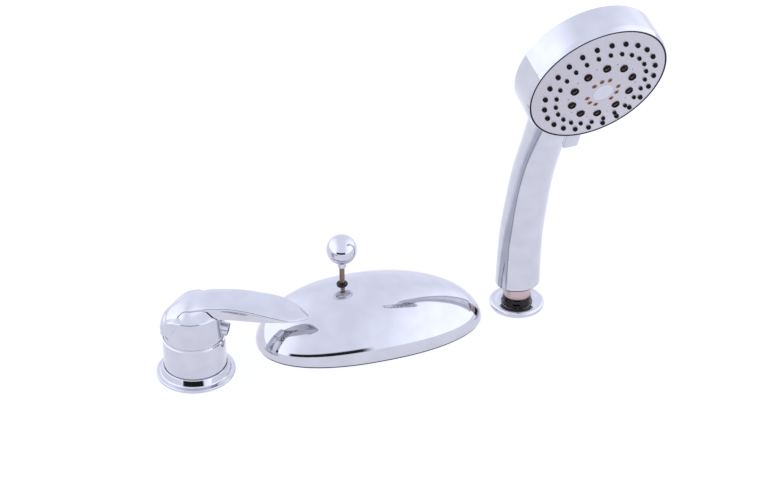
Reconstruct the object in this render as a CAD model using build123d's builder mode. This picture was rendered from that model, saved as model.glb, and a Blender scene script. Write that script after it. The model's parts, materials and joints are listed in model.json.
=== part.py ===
from build123d import *

import os
from math import atan2, copysign, cos, degrees, pi, radians, sin, sqrt

# A bath-rim mixer set: a single-lever mixer, a low domed spout with a pull-up diverter knob, and a
# hand shower that stands in a deck holder. The origin is on the deck, on the axis of the spout's
# shank. +X runs along the spout to its outlet, +Z is up. All sizes are in millimetres.

os.makedirs("parts", exist_ok=True)

# Where the three fittings stand on the deck, and which way each one faces
mixer_x = -118.0
mixer_y = -16.2
lever_heading = -25.4
shower_x = 142.1
shower_y = 0.5
shower_heading = -83.9
deck = 20.0

# Fits and clearances
thread_fit = 0.1
slide_fit = 0.1
turn_fit = 0.1
rest_gap = 0.2
soft_gap = 0.3

# What clamps a fitting to the deck from below
gasket = 3.0
washer = 2.0
nut_height = 8.0
nut_wall = 7.0
washer_wall = 11.0
shank_spare = 22.0
mixer_shank_r = 16.0
holder_shank_r = 14.0
shank_step = 0.5
neck_step = 0.7
shank_bevel = 0.8
port_thread_r = 5.0
port_thread = 12.0
port_r = 3.5
port_ring_r = 8.8

# Mixer body and flange
body_r = 23.35
ledge = 32.5
body_bevel = 0.8
flange_r = 29.5
flange_rim = 2.6
collar_r = 26.2
collar_top_r = 24.6
collar_top = 8.3
seal_height = 1.5
seal_inset = 2.2
seal_width = 3.0

# Cartridge
seat = 3.0
cartridge_r = 17.5
cartridge_base = 4.0
disc_height = 3.0
fixed_disc_r = 13.6
moving_disc_r = 11.0
carrier_height = 3.0
carrier_boss_r = 4.3
carrier_boss_top = 26.4
ball_r = 2.5
socket_floor = 0.5
ball_z = 24.0
housing_bore_r = 14.0
shoulder = 26.0
housing_plate = 3.6
neck_bore_r = 10.3
neck_r = 13.4
neck_top = 36.0
turret_flange = 2.5
slot_length = 12.8
slot_shift = 0.6
boss_head_room = 1.0
turret_top = 37.0
pivot_z = 34.0
pin_r = 1.5
pin_inset = 0.9
nut_thread_r = 18.2
nut_top = 36.2
nut_across = 33.0
cap_foot_r = 22.6
cap_foot = 0.9
cap_ball_r = 22.2
cap_bore_r = 19.5
cap_top = 37.0
spindle_waist = 7.0
waist_drop = 4.5
ball_neck_lap = 0.5
spindle_head = 8.0
spindle_head_rise = 2.4
ball_neck_r = 1.7
spindle_top = 53.0

# Lever
lift_range = 20.0
skirt_z = 36.0
skirt_wall = 2.5
skirt_lip = 0.8
skirt_lip_top = 46.0
skirt_round = 4.0
cavity_top = 49.5
skirt_rim = 57.0
rim_bevel = 0.8
flank_hollow = 0.09
rear_slope = [(-5.0, 57.9), (-16.6, 52.2), (-24.4, 40.0)]
rear_lift = 6.5
rear_start = -6.0
socket_r = 7.0
socket_z = 41.0
socket_lap = 2.5
rib_lap = 1.5
rib_wall = 2.0
screw_r = 2.5
screw_length = 12.0
screw_tilt = 12.0
screw_z = 45.0
nose_r = 5.2
nose_reach = 26.6
nose_bevel = 1.5
plug_r = 3.5
plug_depth = 2.6
plug_stand = 0.3
# Stations along the lever: reach from the axis, half width, crown, edge, keel half width, keel
lever_stations = [
    (-24.3, 5.0, 43.4, 40.8, 5.0, 38.5),
    (-22.4, 10.2, 48.4, 43.0, 9.8, 38.5),
    (-18.0, 14.6, 54.0, 46.6, 14.2, 40.0),
    (-12.0, 18.2, 59.0, 50.4, 19.0, 45.0),
    (-8.5, 16.4, 61.4, 55.6, 20.8, 50.0),
    (-5.0, 14.2, 63.2, 60.0, 22.0, 55.2),
    (3.0, 13.6, 65.8, 62.6, 22.7, 56.5),
    (12.0, 13.8, 68.0, 65.0, 19.6, 56.5),
    (21.0, 13.8, 69.2, 66.2, 13.6, 56.4),
    (31.0, 13.7, 69.9, 67.1, 10.6, 55.6),
    (39.0, 14.0, 69.5, 66.9, 9.2, 55.0),
    (48.0, 14.2, 68.3, 66.0, 8.6, 54.6),
    (57.0, 14.8, 66.6, 64.7, 7.6, 54.3),
    (65.0, 14.6, 64.8, 63.2, 6.2, 54.0),
    (78.0, 10.4, 60.7, 59.6, 4.0, 54.8),
    (86.2, 2.6, 57.8, 57.4, 1.4, 56.2),
]

# Spout dome
dome_length = 178.0
dome_width = 91.0
dome_height = 45.5
dome_centre = 21.4
dome_square = 2.27
dome_round = 1.7
dome_taper = -0.05
apex_back = 14.0
dome_levels = [0.0, 0.12, 0.26, 0.4, 0.54, 0.68, 0.8, 0.9]
spout_gasket = 1.5
gasket_inset = 0.8
gasket_width = 4.0
dome_wall = 3.0

# Diverter inside the spout
core_r = 15.0
core_top = 22.0
core_flange_r = 22.0
core_flange = 4.0
sump_z = -22.0
upper_seat_z = 8.0
tube_socket = 3.0
chamber_r = 7.0
valve_seat_r = 4.5
valve_z = -13.0
valve_r = 5.6
valve_washer = 1.5
valve_height = 6.0
seat_ring = 3.0
bonnet_thread_r = 7.6
bonnet_hex = 19.0
bonnet_hex_height = 4.0
bonnet_neck_r = 5.0
bonnet_neck_top = 40.0
outlet_z = 13.5
outlet_bore_r = 3.6
stem_r = 2.0
stem_top = 67.0
packing_r = 3.6
packing_depth = 6.0
packing = 2.4
bush_sink = 0.6
bush_r = 4.4
bush_thread_r = 3.6
bush_height = 1.6
knob_r = 11.5
knob_z = 76.0
knob_collar_r = 3.2
knob_collar_z = 60.6

# Water way to the outlet, and the aerator
tube_r = 5.6
tube_bore_r = 4.2
outlet_x = 76.0
outlet_block_r = 13.6
outlet_block_top = 20.5
outlet_low = 2.0
aerator_top = 11.0
aerator_r = 12.0
aerator_wall = 1.8
aerator_rim = 1.0

# Shower holder and the hose end
plate_r = 21.5
plate_top = 5.4
plate_dish_r = 16.0
plate_dish = 2.6
plate_hole_r = 12.2
plate_round = 3.0
holder_flange_r = 15.0
holder_flange = 1.2
holder_bore_r = 10.2
liner_r = 8.6
liner_lip_r = 11.9
liner_lip = 1.0
hose_nut_r = 10.8
hose_bead_r = 11.5
hose_groove_r = 11.0
bead = 1.9
band = 3.2
hose_nut_top = 21.5
hose_thread_r = 8.6
nipple_r = 6.3
nipple_bore_r = 4.0
nipple_length = 34.0
nipple_flange = 1.6
hose_shoulder = 5.0
hose_washer = 1.5

# Hand shower: handle, head and spray face
handle_z = 20.0
handle_straight = 28.0
handle_bend = 317.0
handle_wall = 2.4
handle_edge = 1.4
handle_mouth_r = 11.3
insert_bore_r = 5.4
insert_top = 42.0
handle_floor = 24.0
insert_flange_r = 12.8
insert_flange = 2.5
oval_steps = 8
# Handle sections on the bend: lean, half width, half depth
handle_sections = [(0.0, 17.7, 15.6), (9.0, 16.9, 15.0), (18.0, 16.1, 14.4), (26.0, 16.0, 14.4)]
neck_lean = 58.0
neck_forward = 53.0
neck_z = 209.0
neck_width = 17.5
neck_depth = 19.5
root_width = 22.0
root_depth = 25.0
root_drop = 20.0
root_back = 14.0
water_tube_r = 5.0
water_tube_wall = 1.2
water_tube_lean = 27.0
tube_first_lean = 2.6
head_forward = 104.2
head_z = 242.3
head_down = 21.2
head_r = 51.8
lip_r = 50.6
drum_depth = 23.0
drum_wall = 3.6
head_wall = 2.4
back_round = 7.0
face_r = 49.4
face_crown = 7.5
face_thick = 2.0
nozzle_stand = 0.9
rim_ring_r = 40.7
rim_nozzle_r = 1.55
second_ring_r = 33.2
second_nozzle_r = 1.3
ring_count = 24
ring_turn = 2.3
large_ring_r = 22.3
large_nozzle_r = 2.9
large_bore_r = 1.7
large_count = 10
large_turn = 23.2
pin_hole_ring_r = 24.9
pin_hole_r = 0.45
mist_ring_r = 11.4
mist_nozzle_r = 1.7
mist_bore_r = 0.7
mist_step = 30.0
mist_turn = 107.0
cap_r = 7.5
face_screw_r = 2.0
face_screw_length = 10.0
mat_thick = 1.4
mat_in_r = 28.0
mat_out_r = 46.0
mat_gap = 0.1
nozzle_length = 3.6
face_shelf = 2.0
face_lap = 1.6
boss_foot = 1.0
cap_floor = 6.3
face_screw_head = 2.0
divider_drop = 4.5
divider_thick = 3.0
selector_thick = 3.0
selector_r = 43.0
selector_back = 10.7
manifold_thick = 4.0
tube_entry_drop = 14.0
tube_stop = 3.0
manifold_boss_r = 7.0
manifold_boss = 6.0
tab_z = 9.1
tab_foot = 52.8
tab_reach = 73.0
tab_root_width = 8.0
tab_root_thick = 2.8
tab_root_deep = 7.0
tab_width = 12.0
tab_thick = 4.6
tab_range = 25.0

mixer = Plane(
    origin=(mixer_x, mixer_y, 0),
    x_dir=(cos(radians(lever_heading)), sin(radians(lever_heading)), 0),
    z_dir=(0, 0, 1),
)
spout = Plane.XY
shower_forward = Vector(cos(radians(shower_heading)), sin(radians(shower_heading)), 0)
shower_side = Vector(-sin(radians(shower_heading)), cos(radians(shower_heading)), 0)
shower = Plane(origin=(shower_x, shower_y, 0), x_dir=shower_forward, z_dir=(0, 0, 1))
up = Vector(0, 0, 1)
face_out = shower_forward * cos(radians(head_down)) - up * sin(radians(head_down))
face = Plane(
    origin=shower.origin + shower_forward * head_forward + up * head_z,
    x_dir=shower_side,
    z_dir=face_out,
)


def upright(at, turn=0.0):
    """The plane that holds an axis: its x runs out from the axis, its y along the axis."""
    turned_plane = at.rotated((0, 0, turn))
    return Plane(origin=at.origin, x_dir=turned_plane.x_dir, z_dir=-turned_plane.y_dir)


def axis_of(at):
    return Axis(at.origin, at.z_dir)


def save(piece, label):
    piece.part.label = label
    export_step(piece.part, f"parts/{label}.step")


def turned(at, *outlines):
    """Solids turned about a plane's normal from outlines of (radius, height) points."""
    with BuildPart() as piece:
        for outline in outlines:
            with BuildSketch(upright(at)):
                with BuildLine():
                    Polyline(*outline, close=True)
                make_face()
            revolve(axis=axis_of(at))
    return piece


def collar(at, inner_r, outer_r, low, high):
    """A plain ring between two heights."""
    return turned(at, [(inner_r, low), (outer_r, low), (outer_r, high), (inner_r, high)])


shank_length = deck + gasket + washer + nut_height + shank_spare


def shank_end(shank_r):
    """Outline points up a shank: its bevelled thread, then the plain step that fills the deck hole."""
    thread_r = shank_r - shank_step
    return [
        (thread_r - shank_bevel, -shank_length),
        (thread_r, -shank_length + shank_bevel),
        (thread_r, -deck),
        (shank_r, -deck),
    ]


def clamp_gasket(at, shank_r):
    return collar(at, shank_r, shank_r + washer_wall, -deck - gasket, -deck)


def clamp_washer(at, shank_r):
    top = -deck - gasket
    return collar(at, shank_r, shank_r + washer_wall, top - washer, top)


def clamp_nut(at, shank_r):
    with BuildPart() as nut:
        with BuildSketch(at.offset(-deck - gasket - washer - nut_height)):
            RegularPolygon(radius=shank_r + nut_wall, side_count=6, major_radius=False)
            Circle(shank_r - shank_step + thread_fit, mode=Mode.SUBTRACT)
        extrude(amount=nut_height)
        chamfer(nut.edges().filter_by(GeomType.LINE).group_by(Axis.Z)[0], length=0.8)
    return nut


def save_alike(label, *pieces):
    """One node for pieces that are the same."""
    with BuildPart() as together:
        add([piece.part for piece in pieces])
    save(together, label)


# Mixer: flange, seals and body

save(
    turned(
        mixer,
        [
            (body_r + rest_gap, seal_height),
            (body_r + rest_gap, collar_top),
            (collar_top_r, collar_top),
            (collar_r, flange_rim + 0.9),
            (collar_r + 0.7, flange_rim + 0.4),
            (flange_r - 1.2, flange_rim),
            (flange_r, flange_rim - 1.0),
            (flange_r, 0),
            (flange_r - seal_inset, 0),
            (flange_r - seal_inset, seal_height),
        ],
    ),
    "mixer_flange",
)
save(
    collar(mixer, flange_r - seal_inset - seal_width, flange_r - seal_inset - slide_fit, 0, seal_height),
    "mixer_flange_seal",
)

for label, clamp in (("gasket", clamp_gasket), ("washer", clamp_washer), ("nut", clamp_nut)):
    save_alike(f"clamp_{label}s", clamp(mixer, mixer_shank_r), clamp(spout, mixer_shank_r))
    save(clamp(shower, holder_shank_r), f"holder_clamp_{label}")

base_seal_in = mixer_shank_r + 1.2
base_seal_out = base_seal_in + seal_width
save(collar(mixer, base_seal_in, base_seal_out - slide_fit, 0, seal_height), "mixer_base_seal")

with BuildPart() as mixer_body:
    with BuildSketch(upright(mixer)):
        with BuildLine():
            Polyline(
                (0, -shank_length),
                *shank_end(mixer_shank_r),
                (mixer_shank_r, 0),
                (mixer_shank_r + neck_step, 0),
                (mixer_shank_r + neck_step, seal_height),
                (base_seal_out, seal_height),
                (base_seal_out, 0),
                (body_r, 0),
                (body_r, ledge - body_bevel),
                (body_r - body_bevel, ledge),
                (nut_thread_r + thread_fit, ledge),
                (nut_thread_r + thread_fit, shoulder),
                (cartridge_r + slide_fit, shoulder),
                (cartridge_r + slide_fit, seat),
                (0, seat),
                close=True,
            )
        make_face()
    revolve(axis=axis_of(mixer))
    with BuildSketch(mixer.offset(-shank_length)):
        with PolarLocations(port_ring_r, 3):
            Circle(port_r)
    extrude(amount=shank_length + seat, mode=Mode.SUBTRACT)
    with BuildSketch(mixer.offset(-shank_length)):
        with PolarLocations(port_ring_r, 3):
            Circle(port_thread_r)
    extrude(amount=port_thread, mode=Mode.SUBTRACT)
save(mixer_body, "mixer_body")

# Mixer: cartridge

base_top = seat + cartridge_base
fixed_top = base_top + disc_height
moving_top = fixed_top + disc_height
carrier_top = moving_top + carrier_height
plate_under = shoulder - housing_plate
slide_travel = (pivot_z - ball_z) * sin(radians(lift_range))

with BuildPart() as cartridge_base_part:
    with BuildSketch(mixer.offset(seat)):
        Circle(cartridge_r)
        with PolarLocations(port_ring_r, 3):
            Circle(port_r, mode=Mode.SUBTRACT)
    extrude(amount=cartridge_base)
    with BuildSketch(mixer.offset(seat)):
        with PolarLocations(port_ring_r, 3):
            Circle(port_r + 1.6)
    extrude(amount=seal_height, mode=Mode.SUBTRACT)
save(cartridge_base_part, "cartridge_base")

with BuildPart() as port_seals:
    with BuildSketch(mixer.offset(seat)):
        with PolarLocations(port_ring_r, 3):
            Circle(port_r + 1.5)
            Circle(port_r + 0.2, mode=Mode.SUBTRACT)
    extrude(amount=seal_height)
save(port_seals, "port_seals")

with BuildPart() as fixed_disc:
    with BuildSketch(mixer.offset(base_top)):
        Circle(fixed_disc_r)
        with PolarLocations(port_ring_r, 3):
            Circle(port_r, mode=Mode.SUBTRACT)
    extrude(amount=disc_height)
save(fixed_disc, "fixed_disc")

with BuildPart() as moving_disc:
    with BuildSketch(mixer.offset(fixed_top)):
        with Locations((-slide_travel / 2, 0)):
            Circle(moving_disc_r)
            Circle(moving_disc_r - 5.0, mode=Mode.SUBTRACT)
    extrude(amount=disc_height - 1.0)
    with BuildSketch(mixer.offset(moving_top - 1.0)):
        with Locations((-slide_travel / 2, 0)):
            Circle(moving_disc_r)
    extrude(amount=1.0)
save(moving_disc, "moving_disc")

with BuildPart() as disc_carrier:
    with BuildSketch(mixer.offset(moving_top)):
        with Locations((-slide_travel / 2, 0)):
            Circle(moving_disc_r)
    extrude(amount=carrier_height)
    with BuildSketch(mixer.offset(carrier_top)):
        Circle(carrier_boss_r)
    extrude(amount=carrier_boss_top - carrier_top)
    with BuildSketch(mixer.offset(ball_z - ball_r - socket_floor)):
        Circle(ball_r + soft_gap)
    extrude(amount=carrier_boss_top - ball_z + ball_r + socket_floor, mode=Mode.SUBTRACT)
save(disc_carrier, "disc_carrier")

save(
    turned(
        mixer,
        [
            (housing_bore_r, base_top),
            (cartridge_r, base_top),
            (cartridge_r, shoulder),
            (neck_r, shoulder),
            (neck_r, neck_top),
            (neck_bore_r, neck_top),
            (neck_bore_r, plate_under),
            (housing_bore_r, plate_under),
        ],
    ),
    "cartridge_housing",
)

with BuildPart() as cartridge_nut:
    with BuildSketch(mixer.offset(shoulder)):
        Circle(nut_thread_r)
        Circle(neck_r + thread_fit, mode=Mode.SUBTRACT)
    extrude(amount=ledge - shoulder)
    with BuildSketch(mixer.offset(ledge)):
        RegularPolygon(radius=nut_across / 2, side_count=6, major_radius=False)
        Circle(neck_r + thread_fit, mode=Mode.SUBTRACT)
    extrude(amount=nut_top - ledge)
    with BuildSketch(mixer.offset(ledge)):
        Circle(2 * nut_thread_r)
        Circle(nut_thread_r - 0.6, mode=Mode.SUBTRACT)
    extrude(amount=nut_top - ledge, mode=Mode.SUBTRACT)
save(cartridge_nut, "cartridge_nut")

cap_foot_top = ledge + cap_foot
cap_shoulder = (pivot_z + cap_top) / 2
cap_top_r = sqrt(cap_ball_r**2 - (cap_top - pivot_z) ** 2)
cap_shoulder_r = sqrt(cap_ball_r**2 - (cap_shoulder - pivot_z) ** 2)
with BuildPart() as cartridge_cap:
    with BuildSketch(upright(mixer)):
        with BuildLine():
            Polyline((cap_ball_r, cap_foot_top), (cap_foot_r, cap_foot_top), (cap_foot_r, ledge))
            Polyline((cap_foot_r, ledge), (cap_bore_r, ledge), (cap_bore_r, cap_top), (cap_top_r, cap_top))
            ThreePointArc((cap_top_r, cap_top), (cap_shoulder_r, cap_shoulder), (cap_ball_r, pivot_z))
            Line((cap_ball_r, pivot_z), (cap_ball_r, cap_foot_top))
        make_face()
    revolve(axis=axis_of(mixer))
save(cartridge_cap, "cartridge_cap")

# Mixer: the turret that turns with the lever, its pin and the spindle

turret_flange_z = plate_under - turn_fit - turret_flange
slot_width = spindle_waist + 2 * soft_gap
boss_slot = 2 * carrier_boss_r + 2 * soft_gap

with BuildPart() as lever_turret:
    with BuildSketch(mixer.offset(turret_flange_z)):
        Circle(housing_bore_r - turn_fit - 0.2)
    extrude(amount=turret_flange)
    with BuildSketch(mixer.offset(turret_flange_z)):
        Circle(neck_bore_r - turn_fit)
    extrude(amount=turret_top - turret_flange_z)
    with BuildSketch(mixer.offset(turret_flange_z)):
        with Locations((slide_travel / 2, 0)):
            Rectangle(boss_slot + slide_travel, boss_slot)
    extrude(amount=carrier_boss_top + boss_head_room - turret_flange_z, mode=Mode.SUBTRACT)
    with BuildSketch(mixer.offset(turret_flange_z)):
        with Locations((slot_shift, 0)):
            Rectangle(slot_length, slot_width)
    extrude(amount=turret_top - turret_flange_z, mode=Mode.SUBTRACT)
    with BuildSketch(upright(mixer)):
        with Locations((0, pivot_z)):
            Circle(pin_r + slide_fit)
    extrude(amount=neck_bore_r, both=True, mode=Mode.SUBTRACT)
save(lever_turret, "lever_turret")

with BuildPart() as lever_pin:
    with BuildSketch(upright(mixer)):
        with Locations((0, pivot_z)):
            Circle(pin_r)
    extrude(amount=neck_bore_r - pin_inset, both=True)
save(lever_pin, "lever_pin")

head_z = turret_top + spindle_head_rise
with BuildPart() as lever_spindle:
    with BuildSketch(mixer.offset(ball_z)):
        Circle(ball_neck_r)
    extrude(amount=pivot_z - waist_drop + ball_neck_lap - ball_z)
    with BuildSketch(upright(mixer)):
        with BuildLine():
            Line((0, ball_z - ball_r), (0, ball_z + ball_r))
            ThreePointArc((0, ball_z + ball_r), (ball_r, ball_z), (0, ball_z - ball_r))
        make_face()
    revolve(axis=axis_of(mixer))
    with BuildSketch(mixer.offset(pivot_z - waist_drop)):
        Rectangle(spindle_waist, spindle_waist)
    extrude(amount=head_z - pivot_z + waist_drop)
    with BuildSketch(mixer.offset(head_z)):
        Rectangle(spindle_head, spindle_head)
    extrude(amount=spindle_top - head_z)
    with BuildSketch(upright(mixer)):
        with Locations((0, pivot_z)):
            Circle(pin_r + slide_fit)
    extrude(amount=spindle_head, both=True, mode=Mode.SUBTRACT)
save(lever_spindle, "lever_spindle")

# Mixer: lever, its grub screw and the plug that hides it


def lever_face(reach, half, crown, edge, keel_half, keel):
    """One cross-section of the lever: a crowned top and two hollow flanks down to a keel."""
    station = Plane(
        origin=mixer.from_local_coords(Vector(reach, 0, 0)),
        x_dir=mixer.y_dir,
        z_dir=mixer.x_dir,
    )
    hollow_y = (half + keel_half) / 2 - flank_hollow * (edge - keel)
    hollow_z = (edge + keel) / 2 + flank_hollow * (half - keel_half)
    with BuildSketch(station) as section:
        with BuildLine():
            ThreePointArc((-half, edge), (0, crown), (half, edge))
            ThreePointArc((half, edge), (hollow_y, hollow_z), (keel_half, keel))
            Line((keel_half, keel), (-keel_half, keel))
            ThreePointArc((-keel_half, keel), (-hollow_y, hollow_z), (-half, edge))
        make_face()
    return section.sketch


screw_axis = Plane(
    origin=mixer.from_local_coords(Vector(spindle_head / 2, 0, screw_z)),
    x_dir=mixer.y_dir,
    z_dir=mixer.x_dir * cos(radians(screw_tilt)) - up * sin(radians(screw_tilt)),
)
nose_length = (nose_reach - spindle_head / 2) / cos(radians(screw_tilt))
rear_rim = skirt_z + rear_lift * (2 * body_r + rear_start) / (body_r + rear_start)
cavity_r = body_r - skirt_wall
lip_bore_r = body_r - skirt_lip

with BuildPart() as lever:
    with BuildSketch(upright(mixer)):
        with BuildLine():
            Polyline(
                (0, skirt_z),
                (body_r, skirt_z),
                (body_r, skirt_rim - rim_bevel),
                (body_r - rim_bevel, skirt_rim),
                (0, skirt_rim),
                close=True,
            )
        make_face()
    revolve(axis=axis_of(mixer))
    with BuildSketch(upright(mixer)):
        with BuildLine():
            ThreePointArc(*rear_slope)
            Polyline(rear_slope[-1], (-2 * body_r, skirt_rim), (rear_slope[0][0], 2 * skirt_rim), rear_slope[0])
        make_face()
    extrude(amount=2 * body_r, both=True, mode=Mode.SUBTRACT)
    loft(sections=[lever_face(*station) for station in lever_stations])
    with BuildSketch(upright(screw_axis)):
        with BuildLine():
            Polyline(
                (0, nose_length / 2),
                (nose_r, nose_length / 2),
                (nose_r, nose_length - nose_bevel),
                (nose_r - nose_bevel / 3, nose_length - nose_bevel / 3),
                (nose_r - nose_bevel, nose_length),
                (0, nose_length),
                close=True,
            )
        make_face()
    revolve(axis=axis_of(screw_axis))
    with BuildSketch(upright(mixer)):
        with BuildLine():
            Polyline(
                (0, ledge),
                (lip_bore_r, ledge),
                (lip_bore_r, skirt_lip_top - skirt_wall),
                (cavity_r, skirt_lip_top),
                (cavity_r - skirt_round, cavity_top),
                (0, cavity_top),
                close=True,
            )
        make_face()
    revolve(axis=axis_of(mixer), mode=Mode.SUBTRACT)
    with BuildSketch(upright(mixer)):
        with BuildLine():
            Polyline(
                (rear_start, skirt_z),
                (-2 * body_r, rear_rim),
                (-2 * body_r, skirt_z),
                close=True,
            )
        make_face()
    extrude(amount=2 * body_r, both=True, mode=Mode.SUBTRACT)
    with BuildSketch(mixer.offset(socket_z)):
        Circle(socket_r)
        with Locations(((socket_r + cavity_r) / 2, 0)):
            Rectangle(cavity_r - socket_r + 2 * rib_lap, 2 * (screw_r + rib_wall))
    extrude(amount=cavity_top + socket_lap - socket_z)
    with BuildSketch(mixer.offset(socket_z)):
        Rectangle(spindle_head + 2 * slide_fit, spindle_head + 2 * slide_fit)
    extrude(amount=spindle_top + slide_fit - socket_z, mode=Mode.SUBTRACT)
    with BuildSketch(screw_axis):
        Circle(screw_r + slide_fit)
    extrude(amount=nose_length, mode=Mode.SUBTRACT)
    with BuildSketch(screw_axis.offset(nose_length - plug_depth)):
        Circle(plug_r + slide_fit)
    extrude(amount=plug_depth, mode=Mode.SUBTRACT)
save(lever, "lever")

screw_tip = slide_fit + screw_r * sin(radians(screw_tilt))
with BuildPart() as lever_screw:
    with BuildSketch(screw_axis.offset(screw_tip)):
        Circle(screw_r)
    extrude(amount=screw_length)
    with BuildSketch(screw_axis.offset(screw_tip + screw_length)):
        RegularPolygon(radius=1.25, side_count=6, major_radius=False)
    extrude(amount=-3.0, mode=Mode.SUBTRACT)
save(lever_screw, "lever_screw")

with BuildPart() as index_plug:
    with BuildSketch(screw_axis.offset(nose_length - plug_depth)):
        Circle(plug_r)
    extrude(amount=plug_depth + plug_stand)
    with BuildSketch(screw_axis.offset(screw_tip + screw_length + rest_gap)):
        Circle(screw_r - slide_fit)
    extrude(amount=nose_length - plug_depth - screw_tip - screw_length - rest_gap)
    chamfer(index_plug.edges().sort_by(axis_of(screw_axis))[-1], length=0.4)
save(index_plug, "index_plug")

# Spout: dome shell on its gasket


def dome_plan(level, wall):
    """Points round the dome at a level from 0 at the deck to 1 at the top, inset by a wall."""
    shrink = cos(level * pi / 2)
    points = []
    for step in range(32):
        angle = 2 * pi * step / 32
        along = copysign(abs(cos(angle)) ** (2 / dome_square), cos(angle))
        across = copysign(abs(sin(angle)) ** (2 / dome_square), sin(angle))
        x = dome_centre + (dome_length / 2 - wall) * shrink * along - apex_back * (1 - shrink)
        y = (dome_width / 2 - wall) * shrink * across * (1 + dome_taper * shrink * along)
        points.append((x, y))
    return points


def dome_section(level, wall):
    height = spout_gasket + (dome_height - wall - spout_gasket) * sin(level * pi / 2) ** (2 / dome_round)
    with BuildSketch(Plane.XY.offset(height)) as section:
        with BuildLine():
            Spline(*dome_plan(level, wall), periodic=True)
        make_face()
    return section.sketch


def dome(wall):
    """Plan sections from the base up, closed by the top point."""
    sections = [dome_section(level, wall) for level in dome_levels]
    top = Vertex(dome_centre - apex_back, 0, dome_height - wall)
    return [*sections, top]


def dome_surface(x):
    """Height of the dome over a point on its long axis."""
    along = x - dome_centre + apex_back
    shrink = abs(along) / (dome_length / 2 + copysign(apex_back, along))
    return spout_gasket + (dome_height - spout_gasket) * (1 - shrink**2) ** (1 / dome_round)


bush_seat = dome_surface(0) - bush_sink

with BuildPart() as spout_shell:
    loft(sections=dome(0))
    loft(sections=dome(dome_wall), mode=Mode.SUBTRACT)
    with BuildSketch(spout.offset(bonnet_neck_top)):
        Circle(bush_r + 1.0)
    extrude(amount=bush_seat - bonnet_neck_top)
    with BuildSketch(spout.offset(bonnet_neck_top)):
        Circle(bush_thread_r + thread_fit)
    extrude(amount=dome_height, mode=Mode.SUBTRACT)
    with BuildSketch(spout.offset(bush_seat)):
        Circle(bush_r + slide_fit)
    extrude(amount=dome_height, mode=Mode.SUBTRACT)
save(spout_shell, "spout_shell")

with BuildPart() as base_gasket:
    with BuildSketch() as gasket_plan:
        with BuildLine():
            Spline(*dome_plan(0, gasket_inset), periodic=True)
        make_face()
        with BuildLine():
            Spline(*dome_plan(0, gasket_inset + gasket_width), periodic=True)
        make_face(mode=Mode.SUBTRACT)
    extrude(amount=spout_gasket)
save(base_gasket, "spout_gasket")

# Spout: the brass core on its shank, with the diverter chamber

with BuildPart() as spout_core:
    with BuildSketch(upright(spout)):
        with BuildLine():
            Polyline(
                (chamber_r, valve_z),
                (valve_seat_r, valve_z),
                (valve_seat_r, sump_z),
                (0, sump_z),
                (0, -shank_length),
                *shank_end(mixer_shank_r),
                (mixer_shank_r, 0),
                (core_flange_r, 0),
                (core_flange_r, core_flange),
                (core_r, core_flange),
                (core_r, core_top),
                (bonnet_thread_r + thread_fit, core_top),
                (bonnet_thread_r + thread_fit, upper_seat_z),
                (chamber_r, upper_seat_z),
                close=True,
            )
        make_face()
    revolve(axis=axis_of(spout))
    with BuildSketch(spout.offset(-shank_length)):
        with Locations((-port_ring_r, 0)):
            Circle(port_r)
    extrude(amount=shank_length + valve_z + 2 * port_r, mode=Mode.SUBTRACT)
    with BuildSketch(spout.offset(-shank_length)):
        with Locations((port_ring_r, 0)):
            Circle(port_r)
    extrude(amount=shank_length + sump_z + 2 * port_r, mode=Mode.SUBTRACT)
    with BuildSketch(Plane.YZ):
        with Locations((0, sump_z + port_r)):
            Circle(port_r)
    extrude(amount=port_ring_r, mode=Mode.SUBTRACT)
    with BuildSketch(spout.offset(-shank_length)):
        with PolarLocations(port_ring_r, 2):
            Circle(port_thread_r)
    extrude(amount=port_thread, mode=Mode.SUBTRACT)
    with BuildSketch(Plane.YZ):
        with Locations((0, outlet_z)):
            Circle(outlet_bore_r)
    extrude(amount=core_r, mode=Mode.SUBTRACT)
    with BuildSketch(Plane.YZ.offset(core_r - tube_socket)):
        with Locations((0, outlet_z)):
            Circle(tube_r + slide_fit)
    extrude(amount=tube_socket, mode=Mode.SUBTRACT)
save(spout_core, "spout_core")

seat_top = upper_seat_z + seat_ring
save(collar(spout, valve_seat_r, bonnet_thread_r, upper_seat_z, seat_top), "diverter_seat")

with BuildPart() as diverter_bonnet:
    with BuildSketch(upright(spout)):
        with BuildLine():
            Polyline(
                (chamber_r - 1.6, seat_top),
                (bonnet_thread_r, seat_top),
                (bonnet_thread_r, core_top),
                (bonnet_hex / 2, core_top),
                (bonnet_hex / 2, core_top + bonnet_hex_height),
                (bonnet_neck_r, core_top + bonnet_hex_height),
                (bonnet_neck_r, bonnet_neck_top),
                (packing_r, bonnet_neck_top),
                (packing_r, bonnet_neck_top - packing_depth),
                (stem_r + turn_fit, bonnet_neck_top - packing_depth),
                (stem_r + turn_fit, core_top - 2.0),
                (chamber_r - 1.6, core_top - 2.0),
                close=True,
            )
        make_face()
    revolve(axis=axis_of(spout))
    with BuildSketch(Plane.YZ):
        with Locations((0, outlet_z)):
            Circle(outlet_bore_r)
    extrude(amount=core_r, mode=Mode.SUBTRACT)
save(diverter_bonnet, "diverter_bonnet")

packing_z = bonnet_neck_top - packing_depth
save(collar(spout, stem_r + turn_fit, packing_r - slide_fit, packing_z, packing_z + packing), "stem_packing")

save(
    turned(
        spout,
        [
            (stem_r + turn_fit, packing_z + packing),
            (packing_r - slide_fit, packing_z + packing),
            (packing_r - slide_fit, bonnet_neck_top),
            (bush_thread_r, bonnet_neck_top),
            (bush_thread_r, bush_seat),
            (bush_r, bush_seat),
            (bush_r, bush_seat + bush_height - 0.5),
            (bush_r - 0.5, bush_seat + bush_height),
            (stem_r + turn_fit, bush_seat + bush_height),
        ],
    ),
    "stem_bush",
)

# Spout: the diverter's moving parts

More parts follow.
